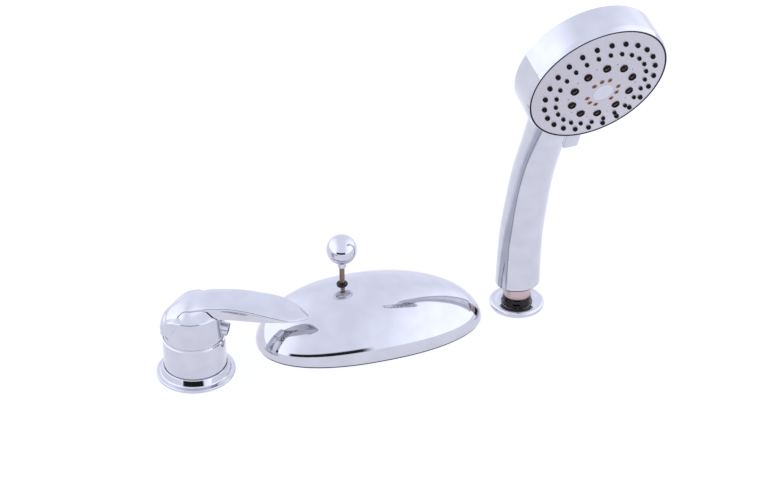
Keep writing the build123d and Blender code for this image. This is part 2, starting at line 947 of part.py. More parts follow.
valve_low = valve_z + valve_washer
valve_high = valve_low + valve_height
save(
    turned(
        spout,
        [
            (0, valve_low),
            (valve_r, valve_low),
            (valve_r, valve_high),
            (stem_r + 1.2, valve_high),
            (stem_r + 1.2, valve_high + 0.6),
            (0, valve_high + 0.6),
        ],
    ),
    "diverter_valve",
)
save(
    turned(
        spout,
        [(0, valve_z + rest_gap), (valve_r, valve_z + rest_gap), (valve_r, valve_low), (0, valve_low)],
        [
            (stem_r + 1.2, valve_high),
            (valve_r, valve_high),
            (valve_r, valve_high + valve_washer),
            (stem_r + 1.2, valve_high + valve_washer),
        ],
    ),
    "valve_washers",
)
with BuildPart() as diverter_stem:
    with BuildSketch(spout.offset(valve_high + 0.6)):
        Circle(stem_r)
    extrude(amount=stem_top - valve_high - 0.6)
    chamfer(diverter_stem.edges().group_by(Axis.Z)[-1], length=0.4)
save(diverter_stem, "diverter_stem")

knob_foot = sqrt(knob_r**2 - knob_collar_r**2)
with BuildPart() as diverter_knob:
    with BuildSketch(upright(spout)):
        with BuildLine():
            Polyline((0, knob_z + knob_r), (0, knob_collar_z), (knob_collar_r, knob_collar_z))
            Line((knob_collar_r, knob_collar_z), (knob_collar_r, knob_z - knob_foot))
            ThreePointArc((knob_collar_r, knob_z - knob_foot), (knob_r, knob_z), (0, knob_z + knob_r))
        make_face()
    revolve(axis=axis_of(spout))
    with BuildSketch(spout.offset(knob_collar_z)):
        Circle(stem_r)
    extrude(amount=stem_top - knob_collar_z, mode=Mode.SUBTRACT)
save(diverter_knob, "diverter_knob")

# Spout: the tube to the outlet, and the aerator

with BuildPart() as spout_tube:
    with BuildSketch(Plane.YZ.offset(core_r - tube_socket)):
        with Locations((0, outlet_z)):
            Circle(tube_r)
    extrude(amount=outlet_x - core_r + tube_socket)
    with BuildSketch(Plane.XY.offset(outlet_low)):
        with Locations((outlet_x, 0)):
            Circle(outlet_block_r)
    extrude(amount=outlet_block_top - outlet_low)
    with BuildSketch(Plane.YZ.offset(core_r - tube_socket)):
        with Locations((0, outlet_z)):
            Circle(tube_bore_r)
    extrude(amount=outlet_x - core_r + tube_socket, mode=Mode.SUBTRACT)
    with BuildSketch(Plane.XY.offset(outlet_low)):
        with Locations((outlet_x, 0)):
            Circle(aerator_r + thread_fit)
    extrude(amount=aerator_top - outlet_low, mode=Mode.SUBTRACT)
    with BuildSketch(Plane.XY.offset(outlet_low)):
        with Locations((outlet_x, 0)):
            Circle(aerator_r - 3.0)
    extrude(amount=outlet_block_top - 2.0 - outlet_low, mode=Mode.SUBTRACT)
save(spout_tube, "spout_tube")

outlet = Plane(origin=(outlet_x, 0, 0), x_dir=(1, 0, 0), z_dir=(0, 0, 1))
aerator_bore_r = aerator_r - aerator_wall
save(collar(outlet, aerator_bore_r, aerator_r - slide_fit, aerator_top - seal_height, aerator_top), "aerator_seal")
save(
    turned(
        outlet,
        [
            (aerator_bore_r - aerator_rim, outlet_low - aerator_rim),
            (aerator_r + aerator_rim, outlet_low - aerator_rim),
            (aerator_r + aerator_rim, outlet_low),
            (aerator_r, outlet_low),
            (aerator_r, aerator_top - seal_height),
            (aerator_bore_r, aerator_top - seal_height),
            (aerator_bore_r, outlet_low),
            (aerator_bore_r - aerator_rim, outlet_low),
        ],
    ),
    "aerator_housing",
)

with BuildPart() as aerator_insert:
    with BuildSketch(outlet.offset(outlet_low)):
        Circle(aerator_bore_r - slide_fit)
    extrude(amount=aerator_top - seal_height - outlet_low)
    with BuildSketch(outlet.offset(outlet_low)):
        with GridLocations(2.6, 2.6, 5, 5):
            Rectangle(1.8, 1.8)
    extrude(amount=aerator_top - seal_height - outlet_low, mode=Mode.SUBTRACT)
save(aerator_insert, "aerator_insert")

# Shower holder in the deck, and the end of the hose

save(
    turned(
        shower,
        [
            (holder_bore_r, -shank_length),
            *shank_end(holder_shank_r),
            (holder_shank_r, 0),
            (holder_flange_r, 0),
            (holder_flange_r, holder_flange),
            (holder_bore_r, holder_flange),
        ],
    ),
    "holder_shank",
)
save(
    turned(
        shower,
        [
            (liner_r, -shank_length + 6.0),
            (holder_bore_r - slide_fit, -shank_length + 6.0),
            (holder_bore_r - slide_fit, holder_flange),
            (liner_lip_r, holder_flange),
            (liner_lip_r, holder_flange + liner_lip),
            (liner_r + 0.8, holder_flange + liner_lip),
            (liner_r, holder_flange),
        ],
    ),
    "holder_liner",
)
with BuildPart() as holder_plate:
    with BuildSketch(upright(shower)):
        with BuildLine():
            Polyline(
                (plate_r, plate_round),
                (plate_r, 0),
                (plate_r - seal_inset, 0),
                (plate_r - seal_inset, holder_flange),
                (plate_hole_r, holder_flange),
                (plate_hole_r, plate_dish),
                (plate_dish_r, plate_dish + 0.4),
            )
            Spline(
                (plate_dish_r, plate_dish + 0.4),
                (plate_r - plate_round, plate_top),
                (plate_r, plate_round),
                tangents=((1, 0.5), (0, -1)),
            )
        make_face()
    revolve(axis=axis_of(shower))
save(holder_plate, "holder_plate")
save(
    collar(
        shower,
        plate_r - seal_inset - slide_fit - seal_width,
        plate_r - seal_inset - slide_fit,
        0,
        holder_flange,
    ),
    "holder_plate_seal",
)

nut_foot = holder_flange + liner_lip + rest_gap
save(
    turned(
        shower,
        [
            (nipple_r + slide_fit, nut_foot),
            (hose_nut_r, nut_foot),
            (hose_bead_r, nut_foot + 0.5),
            (hose_bead_r, nut_foot + bead),
            (hose_groove_r, nut_foot + bead + 0.4),
            (hose_groove_r, nut_foot + bead + band),
            (hose_bead_r, nut_foot + bead + band + 0.4),
            (hose_bead_r, nut_foot + 2 * bead + band),
            (hose_nut_r, nut_foot + 2 * bead + band + 0.8),
            (hose_nut_r, hose_nut_top - 0.6),
            (hose_nut_r - 0.6, hose_nut_top),
            (hose_thread_r + thread_fit, hose_nut_top),
            (hose_thread_r + thread_fit, hose_shoulder),
            (nipple_r + slide_fit, hose_shoulder),
        ],
    ),
    "hose_nut",
)
save(
    turned(
        shower,
        [
            (nipple_bore_r, nut_foot - nipple_length),
            (nipple_r - 0.8, nut_foot - nipple_length),
            (nipple_r, nut_foot - nipple_length + 2.0),
            (nipple_r, hose_shoulder),
            (hose_thread_r, hose_shoulder),
            (hose_thread_r, hose_shoulder + nipple_flange),
            (nipple_bore_r, hose_shoulder + nipple_flange),
        ],
    ),
    "hose_nipple",
)
hose_washer_z = hose_shoulder + nipple_flange
save(
    collar(shower, insert_bore_r, hose_thread_r - slide_fit, hose_washer_z, hose_washer_z + hose_washer),
    "hose_washer",
)

# Hand shower: handle and head shell


def handle_plane(forward, height, lean):
    """A plane across the handle, leaning forward from the vertical by an angle."""
    return Plane(
        origin=shower.from_local_coords(Vector(forward, 0, height)),
        x_dir=shower_side,
        z_dir=shower_forward * sin(radians(lean)) + up * cos(radians(lean)),
    )


def bend_plane(lean):
    """The plane across the bend where the handle leans by an angle."""
    forward = handle_bend * (1 - cos(radians(lean)))
    return handle_plane(forward, handle_straight + handle_bend * sin(radians(lean)), lean)


def oval(at, width, depth):
    """A closed oval of two halves, from its half width and half depth."""
    with BuildSketch(at) as section:
        with BuildLine():
            for side in (1, -1):
                turns = [side * pi * (step / oval_steps - 0.5) for step in range(oval_steps + 1)]
                half = [(side * width * cos(turn), side * depth * sin(side * turn)) for turn in turns]
                Spline(*half, tangents=[(side, 0), (-side, 0)])
        make_face()
    return section.sketch


def handle_faces(wall):
    """Oval sections from the start of the bend to the handle's root inside the head."""
    root = face.from_local_coords(Vector(0, -root_drop, -root_back))
    root_plane = Plane(origin=root, x_dir=shower_side, z_dir=face_out)
    ovals = [(bend_plane(lean), width, depth) for lean, width, depth in handle_sections]
    ovals += [(handle_plane(neck_forward, neck_z, neck_lean), neck_width, neck_depth)]
    ovals += [(root_plane, root_width, root_depth)]
    return [oval(at, width - wall, depth - wall) for at, width, depth in ovals]


def face_height(radius, crown=face_crown):
    """Height of the domed spray face above its seam."""
    sphere = (face_r**2 + crown**2) / (2 * crown)
    return sqrt(sphere**2 - radius**2) - sphere + crown


slot_turn = tab_range + degrees(atan2(tab_root_width / 2, head_r)) + 1.5
drum_bore_r = head_r - drum_wall
foot_width, foot_depth = handle_sections[0][1:]

with BuildPart() as shower_shell:
    foot_oval = oval(handle_plane(0, handle_z + handle_edge, 0), foot_width, foot_depth)
    toe_oval = oval(handle_plane(0, handle_z, 0), foot_width - handle_edge, foot_depth - handle_edge)
    loft(sections=[toe_oval, foot_oval], ruled=True)
    extrude(foot_oval, amount=handle_straight - handle_z - handle_edge)
    loft(sections=handle_faces(0))
    with BuildPart(mode=Mode.PRIVATE) as drum:
        with BuildSketch(face.offset(-drum_depth)):
            Circle(head_r)
        extrude(amount=drum_depth)
        fillet(drum.faces().sort_by(axis_of(face))[0].edges(), radius=back_round)
        chamfer(drum.faces().sort_by(axis_of(face))[-1].edges(), length=head_r - lip_r)
    add(drum.part)
    with BuildSketch(face.offset(head_wall - drum_depth)):
        Circle(drum_bore_r)
    extrude(amount=drum_depth, mode=Mode.SUBTRACT)
    with BuildSketch(face.offset(-face_shelf)):
        Circle(face_r + slide_fit)
    extrude(amount=2 * face_shelf, mode=Mode.SUBTRACT)
    loft(sections=handle_faces(handle_wall), mode=Mode.SUBTRACT)
    add(
        extrude(
            oval(handle_plane(0, handle_floor, 0), foot_width - handle_wall, foot_depth - handle_wall),
            amount=handle_straight - handle_floor,
            mode=Mode.PRIVATE,
        ),
        mode=Mode.SUBTRACT,
    )
    with BuildSketch(shower.offset(handle_z)):
        Circle(handle_mouth_r)
    extrude(amount=handle_floor - handle_z, mode=Mode.SUBTRACT)
    with BuildSketch(face.offset(-tab_z - tab_root_thick / 2 - slide_fit)):
        with BuildLine():
            CenterArc((0, 0), 2 * head_r, -90.0 - slot_turn, 2 * slot_turn)
            Line((0, 0), (2 * head_r * sin(radians(slot_turn)), -2 * head_r * cos(radians(slot_turn))))
            Line((0, 0), (-2 * head_r * sin(radians(slot_turn)), -2 * head_r * cos(radians(slot_turn))))
        make_face()
        Circle(selector_r, mode=Mode.SUBTRACT)
    extrude(amount=tab_root_thick + 2 * slide_fit, mode=Mode.SUBTRACT)
save(shower_shell, "shower_shell")

insert_foot = hose_washer_z + hose_washer + turn_fit
save(
    turned(
        shower,
        [
            (insert_bore_r, insert_foot),
            (hose_thread_r, insert_foot),
            (hose_thread_r, handle_floor),
            (insert_flange_r, handle_floor),
            (insert_flange_r, handle_floor + insert_flange),
            (hose_thread_r, handle_floor + insert_flange),
            (hose_thread_r, insert_top),
            (insert_bore_r, insert_top),
        ],
    ),
    "thread_insert",
)


def bend_point(lean):
    """A point of the handle's bend, as reach forward and height."""
    return (
        handle_bend * (1 - cos(radians(lean))),
        handle_straight + handle_bend * sin(radians(lean)),
    )


manifold_front = -selector_back - turn_fit
manifold_rear = manifold_front - manifold_thick
tube_target = face.from_local_coords(Vector(0, -tube_entry_drop, manifold_rear - tube_stop))
tube_end = shower.to_local_coords(tube_target)
tube_from = Vector(*bend_point(water_tube_lean))
tube_to = Vector(tube_end.X, tube_end.Z)
tube_chord = tube_to - tube_from
turn_left = atan2(cos(radians(water_tube_lean)), sin(radians(water_tube_lean))) - atan2(tube_chord.Y, tube_chord.X)
tube_sagitta = tube_chord.length / 2 * sin(turn_left / 2) / cos(turn_left / 2)

with BuildPart() as water_tube:
    with BuildLine(upright(shower)) as tube_path:
        ThreePointArc(
            bend_point(tube_first_lean),
            bend_point((tube_first_lean + water_tube_lean) / 2),
            bend_point(water_tube_lean),
        )
        SagittaArc((tube_from.X, tube_from.Y), (tube_to.X, tube_to.Y), tube_sagitta)
    with BuildSketch(Plane(origin=tube_path.line @ 0, x_dir=shower_side, z_dir=tube_path.line % 0)):
        Circle(water_tube_r)
        Circle(water_tube_r - water_tube_wall, mode=Mode.SUBTRACT)
    sweep(path=tube_path.line)
save(water_tube, "water_tube")

# Hand shower: what is inside the head


def dome_ring(inner_r, outer_r, top_drop, thick):
    """A ring that follows the under side of the domed spray face."""
    middle_r = (inner_r + outer_r) / 2
    with BuildSketch(upright(face)) as ring:
        with BuildLine():
            ThreePointArc(*[(r, face_height(r) - top_drop) for r in (inner_r, middle_r, outer_r)])
            Line(
                (outer_r, face_height(outer_r) - top_drop),
                (outer_r, face_height(outer_r) - top_drop - thick),
            )
            ThreePointArc(*[(r, face_height(r) - top_drop - thick) for r in (outer_r, middle_r, inner_r)])
            Line(
                (inner_r, face_height(inner_r) - top_drop - thick),
                (inner_r, face_height(inner_r) - top_drop),
            )
        make_face()
    return ring.sketch


rings = [
    (rim_ring_r, rim_nozzle_r),
    (second_ring_r, second_nozzle_r),
]
mist_places = [
    (mist_ring_r * cos(radians(angle)), mist_ring_r * sin(radians(angle)))
    for group in range(3)
    for angle in [mist_turn + 120.0 * group + mist_step * step for step in (-1, 0, 1)]
]

with BuildPart() as face_plate:
    with BuildSketch(upright(face)):
        with BuildLine():
            ThreePointArc((0, face_crown), (face_r / 2, face_height(face_r / 2)), (face_r, 0))
            Polyline(
                (face_r, 0),
                (face_r, -face_shelf),
                (face_r - face_lap, -face_shelf),
                (face_r - face_lap, -face_shelf + 1.0),
            )
            inner_edge = face_r - face_lap
            ThreePointArc(
                (inner_edge, -face_shelf + 1.0),
                (inner_edge / 2, face_height(inner_edge / 2) - face_thick),
                (0, face_crown - face_thick),
            )
            Line((0, face_crown - face_thick), (0, face_crown))
        make_face()
    revolve(axis=axis_of(face))
    with BuildSketch(face.offset(boss_foot)):
        Circle(cap_r + 1.5)
    extrude(amount=face_crown - face_thick - boss_foot + 0.5)
    with BuildSketch(face.offset(-face_shelf - 1.0)):
        for ring_r, nozzle_r in rings:
            with PolarLocations(ring_r, ring_count, start_angle=ring_turn):
                Circle(nozzle_r + slide_fit)
        with PolarLocations(large_ring_r, large_count, start_angle=large_turn):
            Circle(large_nozzle_r + slide_fit)
        with PolarLocations(pin_hole_ring_r, large_count, start_angle=large_turn + 180.0 / large_count):
            Circle(pin_hole_r)
    extrude(amount=2 * face_crown, mode=Mode.SUBTRACT)
    with BuildSketch(face.offset(boss_foot)):
        with Locations(*mist_places):
            Circle(mist_nozzle_r + slide_fit)
    extrude(amount=2 * face_crown, mode=Mode.SUBTRACT)
    with BuildSketch(face.offset(cap_floor)):
        Circle(cap_r + slide_fit)
    extrude(amount=face_crown, mode=Mode.SUBTRACT)
    with BuildSketch(face.offset(cap_floor - face_screw_head)):
        Circle(2 * face_screw_r + slide_fit)
    extrude(amount=face_screw_head, mode=Mode.SUBTRACT)
    with BuildSketch(face.offset(boss_foot)):
        Circle(face_screw_r + slide_fit)
    extrude(amount=face_crown, mode=Mode.SUBTRACT)
save(face_plate, "face_plate")

with BuildPart() as nozzle_mat:
    add(dome_ring(mat_in_r, mat_out_r, face_thick + mat_gap, mat_thick))
    revolve(axis=axis_of(face))
    for ring_r, nozzle_r in rings:
        foot = face_height(ring_r) - face_thick - mat_thick
        with BuildSketch(face.offset(foot)):
            with PolarLocations(ring_r, ring_count, start_angle=ring_turn):
                Circle(nozzle_r)
        extrude(amount=face_height(ring_r) + nozzle_stand - foot)
        with BuildSketch(face.offset(foot - mat_thick)):
            with PolarLocations(ring_r, ring_count, start_angle=ring_turn):
                Circle(nozzle_r / 3)
        extrude(amount=face_crown + mat_thick, mode=Mode.SUBTRACT)
save(nozzle_mat, "nozzle_mat")

large_top = face_height(large_ring_r) + nozzle_stand / 2
with BuildPart() as massage_nozzles:
    with BuildSketch(face.offset(large_top - nozzle_length)):
        with PolarLocations(large_ring_r, large_count, start_angle=large_turn):
            Circle(large_nozzle_r)
            Circle(large_bore_r, mode=Mode.SUBTRACT)
    extrude(amount=nozzle_length)
save(massage_nozzles, "massage_nozzles")

mist_top = face_height(mist_ring_r) + nozzle_stand / 2
with BuildPart() as mist_nozzles:
    with BuildSketch(face.offset(mist_top - nozzle_length)):
        with Locations(*mist_places):
            Circle(mist_nozzle_r)
            Circle(mist_bore_r, mode=Mode.SUBTRACT)
    extrude(amount=nozzle_length)
save(mist_nozzles, "mist_nozzles")

with BuildPart() as face_cap:
    with BuildSketch(upright(face)):
        with BuildLine():
            Polyline((0, face_crown), (0, cap_floor), (cap_r, cap_floor), (cap_r, face_height(cap_r)))
            ThreePointArc((cap_r, face_height(cap_r)), (cap_r / 2, face_height(cap_r / 2)), (0, face_crown))
        make_face()
    revolve(axis=axis_of(face))
save(face_cap, "face_cap")

with BuildPart() as face_screw:
    with BuildSketch(face.offset(cap_floor - face_screw_head)):
        Circle(2 * face_screw_r)
    extrude(amount=face_screw_head)
    with BuildSketch(face.offset(cap_floor - face_screw_head - face_screw_length)):
        Circle(face_screw_r)
    extrude(amount=face_screw_length)
    with BuildSketch(face.offset(cap_floor)):
        Rectangle(3.4, 0.9)
        Rectangle(0.9, 3.4)
    extrude(amount=-1.2, mode=Mode.SUBTRACT)
save(face_screw, "face_screw")

divider_top = -divider_drop
divider_low = divider_top - divider_thick
with BuildPart() as water_divider:
    with BuildSketch(face.offset(divider_low)):
        Circle(drum_bore_r - slide_fit)
    extrude(amount=divider_thick)
    with BuildSketch(face.offset(divider_top)):
        Circle(cap_r + 1.5)
    extrude(amount=boss_foot - divider_top)
    with BuildSketch(face.offset(divider_top)):
        Circle(drum_bore_r - slide_fit)
        Circle(drum_bore_r - face_lap, mode=Mode.SUBTRACT)
    extrude(amount=-face_shelf - divider_top)
    with BuildSketch(face.offset(divider_low)):
        Circle(face_screw_r + slide_fit)
    extrude(amount=boss_foot - divider_low, mode=Mode.SUBTRACT)
    with BuildSketch(face.offset(divider_low)):
        for ring_r in (rim_ring_r, second_ring_r - 4.0, mist_ring_r + 2.0):
            with PolarLocations(ring_r, 12):
                Circle(1.4)
    extrude(amount=divider_thick, mode=Mode.SUBTRACT)
save(water_divider, "water_divider")

selector_top = divider_low - turn_fit
with BuildPart() as selector_disc:
    with BuildSketch(face.offset(selector_top - selector_thick)):
        Circle(selector_r)
        with PolarLocations(second_ring_r, 4):
            Circle(3.0, mode=Mode.SUBTRACT)
        with Locations((0, -selector_r)):
            Rectangle(tab_root_width + 2 * slide_fit, 2 * tab_root_deep, mode=Mode.SUBTRACT)
    extrude(amount=selector_thick)
save(selector_disc, "selector_disc")

with BuildPart() as mode_tab:
    root_far = selector_r - tab_root_deep + slide_fit
    with BuildSketch(face.offset(-tab_z - tab_root_thick / 2)):
        with Locations((0, -(root_far + tab_foot) / 2)):
            Rectangle(tab_root_width, tab_foot - root_far)
    extrude(amount=tab_root_thick)
    with BuildSketch(face.offset(-tab_z - tab_thick / 2)):
        with Locations((0, -(tab_foot + tab_reach) / 2)):
            RectangleRounded(tab_width, tab_reach - tab_foot, 2.0)
    extrude(amount=tab_thick)
save(mode_tab, "mode_tab")

tube_mouth = Plane(origin=tube_path.line @ 1, x_dir=shower_side, z_dir=tube_path.line % 1)
with BuildPart() as water_manifold:
    with BuildSketch(face.offset(manifold_rear)):
        Circle(drum_bore_r - slide_fit)
    extrude(amount=manifold_thick)
    with BuildSketch(tube_mouth.offset(-manifold_boss)):
        Circle(manifold_boss_r)
    extrude(amount=manifold_boss + tube_stop + 2.0)
    with BuildSketch(tube_mouth.offset(-manifold_boss)):
        Circle(water_tube_r + slide_fit)
    extrude(amount=manifold_boss, mode=Mode.SUBTRACT)
    with BuildSketch(tube_mouth):
        Circle(water_tube_r - water_tube_wall)
    extrude(amount=4 * tube_stop, mode=Mode.SUBTRACT)
    with BuildSketch(face.offset(manifold_front)):
        Circle(drum_bore_r)
    extrude(amount=2 * manifold_boss, mode=Mode.SUBTRACT)
save(water_manifold, "water_manifold")
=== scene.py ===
import json
from math import atan2, copysign, cos, pi, radians, sin, sqrt

import bpy
import numpy as np
from mathutils import Matrix, Vector


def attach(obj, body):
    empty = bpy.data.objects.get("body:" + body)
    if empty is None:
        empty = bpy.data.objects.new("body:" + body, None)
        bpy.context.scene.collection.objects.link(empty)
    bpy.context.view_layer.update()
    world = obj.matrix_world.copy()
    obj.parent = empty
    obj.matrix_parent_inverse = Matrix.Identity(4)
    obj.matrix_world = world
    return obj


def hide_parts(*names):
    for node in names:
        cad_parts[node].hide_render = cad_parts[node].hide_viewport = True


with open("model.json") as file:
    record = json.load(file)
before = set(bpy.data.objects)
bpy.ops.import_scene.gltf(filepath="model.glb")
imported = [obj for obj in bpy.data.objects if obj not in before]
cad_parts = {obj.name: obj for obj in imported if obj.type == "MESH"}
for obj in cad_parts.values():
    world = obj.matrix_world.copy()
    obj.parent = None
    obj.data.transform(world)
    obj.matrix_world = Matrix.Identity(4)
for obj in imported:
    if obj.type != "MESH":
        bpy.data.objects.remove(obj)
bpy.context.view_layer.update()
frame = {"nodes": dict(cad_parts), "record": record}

# A bath-rim mixer set in polished chrome: single-lever mixer, low dome spout with a ball knob, and
# a hand shower in a deck holder. Sizes are in millimetres and turned to metres by MM.
MM = 0.001

# Finishes


def linear(colour):
    """An sRGB hex colour as the linear colour that the shaders take."""
    values = [int(colour[i : i + 2], 16) / 255 for i in (1, 3, 5)]
    return [v / 12.92 if v <= 0.04045 else ((v + 0.055) / 1.055) ** 2.4 for v in values] + [1.0]


def add_node(material, kind, settings=None, sockets=None, links=None):
    """Adds a node, sets its properties and sockets, and links its inputs from other nodes' outputs."""
    node = material.node_tree.nodes.new(kind)
    for key, value in (settings or {}).items():
        setattr(node, key, value)
    for key, value in (sockets or {}).items():
        node.inputs[key].default_value = value
    for key, (source, output) in (links or {}).items():
        material.node_tree.links.new(source.outputs[output], node.inputs[key])
    return node


def finish_of(name, sockets):
    """A new material: its shader with plain values set on the shader's own sockets."""
    material = bpy.data.materials.new(name)
    material.use_nodes = True
    shader = material.node_tree.nodes["Principled BSDF"]
    for key, value in sockets.items():
        shader.inputs[key].default_value = value
    return material, shader


def surface_grain(material, shader, size, depth, low, high, detail=3.0):
    """Fine unevenness of a surface: a noise of one size in millimetres drives height and roughness."""
    position = add_node(material, "ShaderNodeTexCoord")
    noise = add_node(
        material,
        "ShaderNodeTexNoise",
        sockets={"Scale": 1 / (size * MM), "Detail": detail, "Roughness": 0.55},
        links={"Vector": (position, "Object")},
    )
    spread = add_node(
        material,
        "ShaderNodeMapRange",
        sockets={"From Min": 0.3, "From Max": 0.7, "To Min": low, "To Max": high},
        links={"Value": (noise, "Fac")},
    )
    bump = add_node(
        material,
        "ShaderNodeBump",
        sockets={"Strength": 1.0, "Distance": depth * MM},
        links={"Height": (noise, "Fac")},
    )
    tree = material.node_tree
    tree.links.new(spread.outputs["Result"], shader.inputs["Roughness"])
    tree.links.new(bump.outputs["Normal"], shader.inputs["Normal"])
    return noise


def two_tones(material, shader, noise, dark, light):
    """Colour that drifts a little between two tones with the same noise."""
    ramp = add_node(material, "ShaderNodeValToRGB", links={"Fac": (noise, "Fac")})
    ramp.color_ramp.elements[0].position = 0.35
    ramp.color_ramp.elements[0].color = linear(dark)
    ramp.color_ramp.elements[1].position = 0.65
    ramp.color_ramp.elements[1].color = linear(light)
    material.node_tree.links.new(ramp.outputs["Color"], shader.inputs["Base Color"])


# Bright chrome plating on polished brass: mirror-clear, with the faint swell that hand polishing
# leaves, so long reflections wander slightly.
chrome, shader = finish_of("bright_chrome_plating", {"Metallic": 1.0, "Roughness": 0.04})
grain = surface_grain(chrome, shader, 14.0, 0.006, 0.03, 0.055, 1.0)
two_tones(chrome, shader, grain, "#C6C6CA", "#CCCCD0")

# Satin chrome on moulded ABS: the spray face scatters light, so it reads as soft silver.
satin, shader = finish_of("satin_chrome_on_plastic", {"Metallic": 0.9, "Roughness": 0.3})
grain = surface_grain(satin, shader, 0.35, 0.01, 0.26, 0.36)
two_tones(satin, shader, grain, "#BBB8BB", "#C5C2C5")

# Black silicone, moulded: soft and nearly matt, with a short sheen on the nozzle tips.
silicone, shader = finish_of(
    "black_silicone", {"Roughness": 0.5, "IOR": 1.41, "Specular IOR Level": 0.15}
)
grain = surface_grain(silicone, shader, 0.5, 0.01, 0.42, 0.6)
two_tones(silicone, shader, grain, "#0C0B0C", "#161417")

# Black nitrile rubber of the seals: duller than silicone, with a dusty bloom.
rubber, shader = finish_of("nitrile_rubber", {"Roughness": 0.7, "IOR": 1.52})
grain = surface_grain(rubber, shader, 1.2, 0.02, 0.6, 0.85)
two_tones(rubber, shader, grain, "#17161A", "#232227")

# Machined brass: yellow metal with fine turning marks.
brass, shader = finish_of("machined_brass", {"Metallic": 1.0, "Roughness": 0.28})
grain = surface_grain(brass, shader, 0.6, 0.006, 0.22, 0.36)
two_tones(brass, shader, grain, "#C9A35C", "#D8B56E")

# Darkened brass of the pull rod: brown where the plating stops and water has stained it.
rod_metal, shader = finish_of("darkened_brass", {"Metallic": 1.0, "Roughness": 0.2})
grain = surface_grain(rod_metal, shader, 0.5, 0.004, 0.16, 0.3)
two_tones(rod_metal, shader, grain, "#7A6158", "#927468")

# Stainless steel of the pins, screws and washers: plain, a little dull.
steel, shader = finish_of("stainless_steel", {"Metallic": 1.0, "Roughness": 0.3})
grain = surface_grain(steel, shader, 0.8, 0.005, 0.25, 0.38)
two_tones(steel, shader, grain, "#B9BABD", "#C8C9CC")

# White acetal of the inner moulded parts: milky and softly shining.
acetal, shader = finish_of("white_acetal", {"Roughness": 0.38, "IOR": 1.48})
grain = surface_grain(acetal, shader, 0.9, 0.01, 0.32, 0.45)
two_tones(acetal, shader, grain, "#DAD9D2", "#E6E5DF")

# Lapped alumina ceramic of the cartridge discs: dense, white, finely polished.
ceramic, shader = finish_of("lapped_ceramic", {"Roughness": 0.16, "IOR": 1.77})
grain = surface_grain(ceramic, shader, 0.4, 0.002, 0.12, 0.2)
two_tones(ceramic, shader, grain, "#EDEBE6", "#F5F4F0")

# Copper-coloured ABS of the mist nozzles: warm, glossy, with a darker throat.
copper, shader = finish_of("copper_coloured_plastic", {"Roughness": 0.25, "Metallic": 0.5, "IOR": 1.54})
grain = surface_grain(copper, shader, 0.5, 0.006, 0.2, 0.32)
two_tones(copper, shader, grain, "#7A5238", "#A0704C")

# Chrome with a painted dark reflection: a near-black base colour stands in for the dark surroundings
# that the hose nut's bands mirror, and a clear coat gives white glints at the sides.
painted_dark_reflection_metal, shader = finish_of(
    "chrome_with_painted_dark_reflection", {"Metallic": 1.0, "Roughness": 0.08, "Coat Weight": 0.4}
)
grain = surface_grain(painted_dark_reflection_metal, shader, 2.0, 0.003, 0.05, 0.11)
two_tones(painted_dark_reflection_metal, shader, grain, "#1C1617", "#262021")

# Satin nickel of the hose's sleeve: brushed and left unpolished, so it looks soft and a little pink.
sleeve_metal, shader = finish_of("satin_nickel", {"Metallic": 1.0, "Roughness": 0.26})
grain = surface_grain(sleeve_metal, shader, 0.8, 0.004, 0.2, 0.32)
two_tones(sleeve_metal, shader, grain, "#BFA9A6", "#C8B3B0")

# White ABS of the index plug, and a dark ring laid over the edge of its recess: both plain, softly
# shining.
white_disc, shader = finish_of(
    "white_index_plug", {"Base Color": linear("#E6E6EA"), "Roughness": 0.3}
)
dark_ring, shader = finish_of(
    "dark_recess_ring", {"Base Color": linear("#131116"), "Roughness": 0.4}
)

# What each slot of the construction is made of
finishes = {
    "chrome": chrome,
    "satin_face": satin,
    "rubber": rubber,
    "brass": brass,
    "steel": steel,
    "plastic": acetal,
    "ceramic": ceramic,
    "copper_nozzle": copper,
    "index_white": acetal,
}
for entry in frame["record"]["subparts"]:
    node = frame["nodes"][entry["node"]]
    node.data.materials.clear()
    node.data.materials.append(finishes[entry["material_slot"]])
for name in ("nozzle_mat", "massage_nozzles"):
    frame["nodes"][name].data.materials[0] = silicone
# The stem bush also wears the painted dark reflection instead of bright chrome.
frame["nodes"]["stem_bush"].data.materials[0] = painted_dark_reflection_metal

# Where the fittings stand, the same planes as the construction

mixer_x, mixer_y, lever_heading = -118.0, -16.2, -25.4
shower_x, shower_y, shower_heading = 142.1, 0.5, -83.9
head_forward, head_height, head_down = 104.2, 242.3, 21.2


def place(origin, x_dir, z_dir):
    """A plane as a matrix: its columns are the x, y and z directions and the origin."""
    z = Vector(z_dir).normalized()
    x = Vector(x_dir).normalized()
    y = z.cross(x)
    matrix = Matrix((x, y, z)).transposed().to_4x4()
    matrix.translation = Vector(origin)
    return matrix


def heading(degrees_from_x):
    """A level direction at an angle from the row's x."""
    return Vector((cos(radians(degrees_from_x)), sin(radians(degrees_from_x)), 0))


up = Vector((0, 0, 1))
spout = Matrix.Identity(4)
mixer = place((mixer_x, mixer_y, 0), heading(lever_heading), up)
shower = place((shower_x, shower_y, 0), heading(shower_heading), up)
forward = heading(shower_heading)
side = heading(shower_heading + 90)
face_out = forward * cos(radians(head_down)) - up * sin(radians(head_down))
face = place(shower.translation + forward * head_forward + up * head_height, side, face_out)

# Mesh making


def piece(name, points, faces, body, material, nodes=(), crease=40.0):
    """A smooth mesh from points in millimetres in the row frame, riding on a body."""
    mesh = bpy.data.meshes.new(name)
    mesh.from_pydata([Vector(p) * MM for p in points], [], faces)
    mesh.validate()
    mesh.update()
    mesh.shade_smooth()
    mesh.set_sharp_from_angle(angle=radians(crease))
    made = bpy.data.objects.new(name, mesh)
    bpy.context.scene.collection.objects.link(made)
    mesh.materials.append(material)
    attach(made, body)
    if nodes:
        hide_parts(*nodes)
    return made


